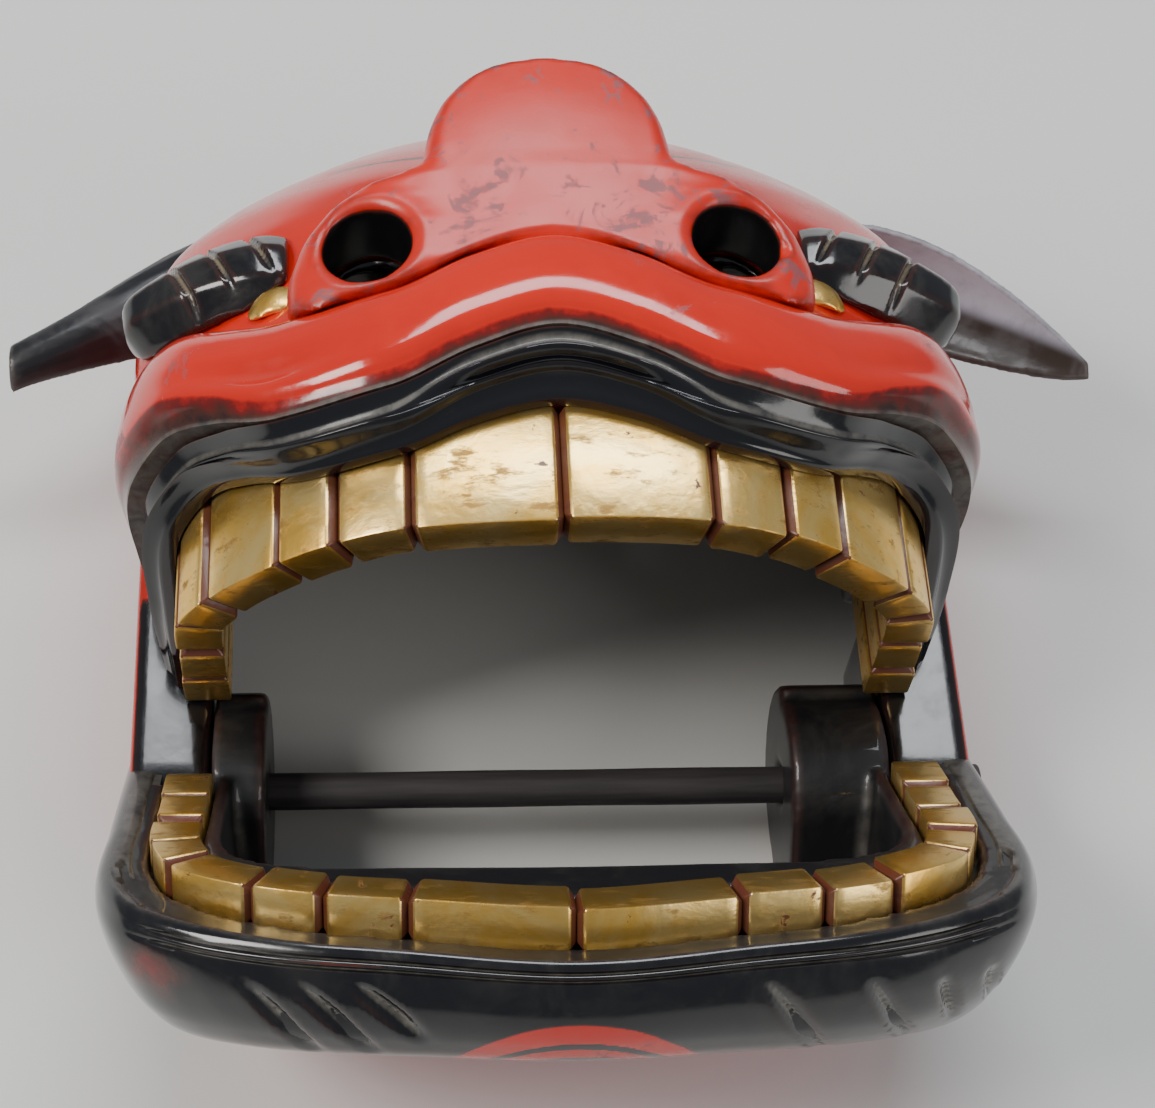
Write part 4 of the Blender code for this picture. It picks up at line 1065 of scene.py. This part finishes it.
bm = bmesh.new()
rows = [[bm.verts.new(from_jaw(point)) for point in row] for row in skin]
for lower, upper in zip(rows, rows[1:]):
    for k in range(len(lower) - 1):
        bm.faces.new((lower[k], lower[k + 1], upper[k + 1], upper[k]))
bm.normal_update()
mesh = bpy.data.meshes.new("jaw_front")
bm.to_mesh(mesh)
bm.free()
jaw_front = bpy.data.objects.new("jaw_front", mesh)
bpy.context.scene.collection.objects.link(jaw_front)
note(jaw_front, "red", jaw_red.ravel())
note(jaw_front, "dusty", (ramp(steps, 6.8, 7.5) * (0.6 + 0.4 * front_only)).ravel())
alone(jaw_front)
bpy.ops.object.mode_set(mode="EDIT")
bpy.ops.mesh.select_all(action="SELECT")
bpy.ops.mesh.normals_make_consistent(inside=False)
bpy.ops.object.mode_set(mode="OBJECT")
middle_face = jaw_front.data.polygons[len(jaw_front.data.polygons) // 2]
if middle_face.normal.dot(middle_face.center - from_jaw(JAW_MIDDLE)) < 0:
    jaw_front.data.flip_normals()
note_relief(jaw_front)
wall = jaw_front.modifiers.new("wall", "SOLIDIFY")
wall.thickness = JAW_WALL
wall.offset = -1.0
bpy.ops.object.modifier_apply(modifier="wall")
bpy.ops.object.shade_smooth_by_angle(angle=math.radians(50))
jaw_front.data.materials.append(jaw_lacquer)
dress(jaw_front, "jaw", "black_lacquer", "jaw")

inner_lacquer = lacquer("inner_lacquer", worn=0.7, dust=0.5, gloss=0.50, scuff=0.09)
jaw = carved_copy("jaw_carved", "jaw", grain=0.0017, rounds=6)
places, normals = points_of(jaw)
across, up, forward = jaw_local(places)
turned = normals[:, 1] * math.cos(JAW_OPENING) + normals[:, 2] * math.sin(JAW_OPENING)
under = ramp(-turned, 0.4, 0.75) * ramp(-up, 0.012, 0.022)
under *= (1 - ramp(np.abs(across), 0.080, 0.086)) * (1 - ramp(forward, 0.098, 0.104))
round_it = (np.abs(across) / LOWER_ROW) ** 4 + (np.maximum(forward, 0.0) / MUZZLE) ** 4
behind = ramp(round_it, 1.02, 1.25) * ramp(normals[:, 0] * np.sign(across) - turned + 0.8, 0.0, 0.6)
places -= normals * (PUSHED_IN * behind * ramp(forward, 0.0, 0.01))[:, None]
move_points(jaw, places)
note(jaw, "red", 0.9 * under)
note_relief(jaw)
jaw.data.materials.append(inner_lacquer)
dress(jaw, "jaw", "black_lacquer", "jaw")
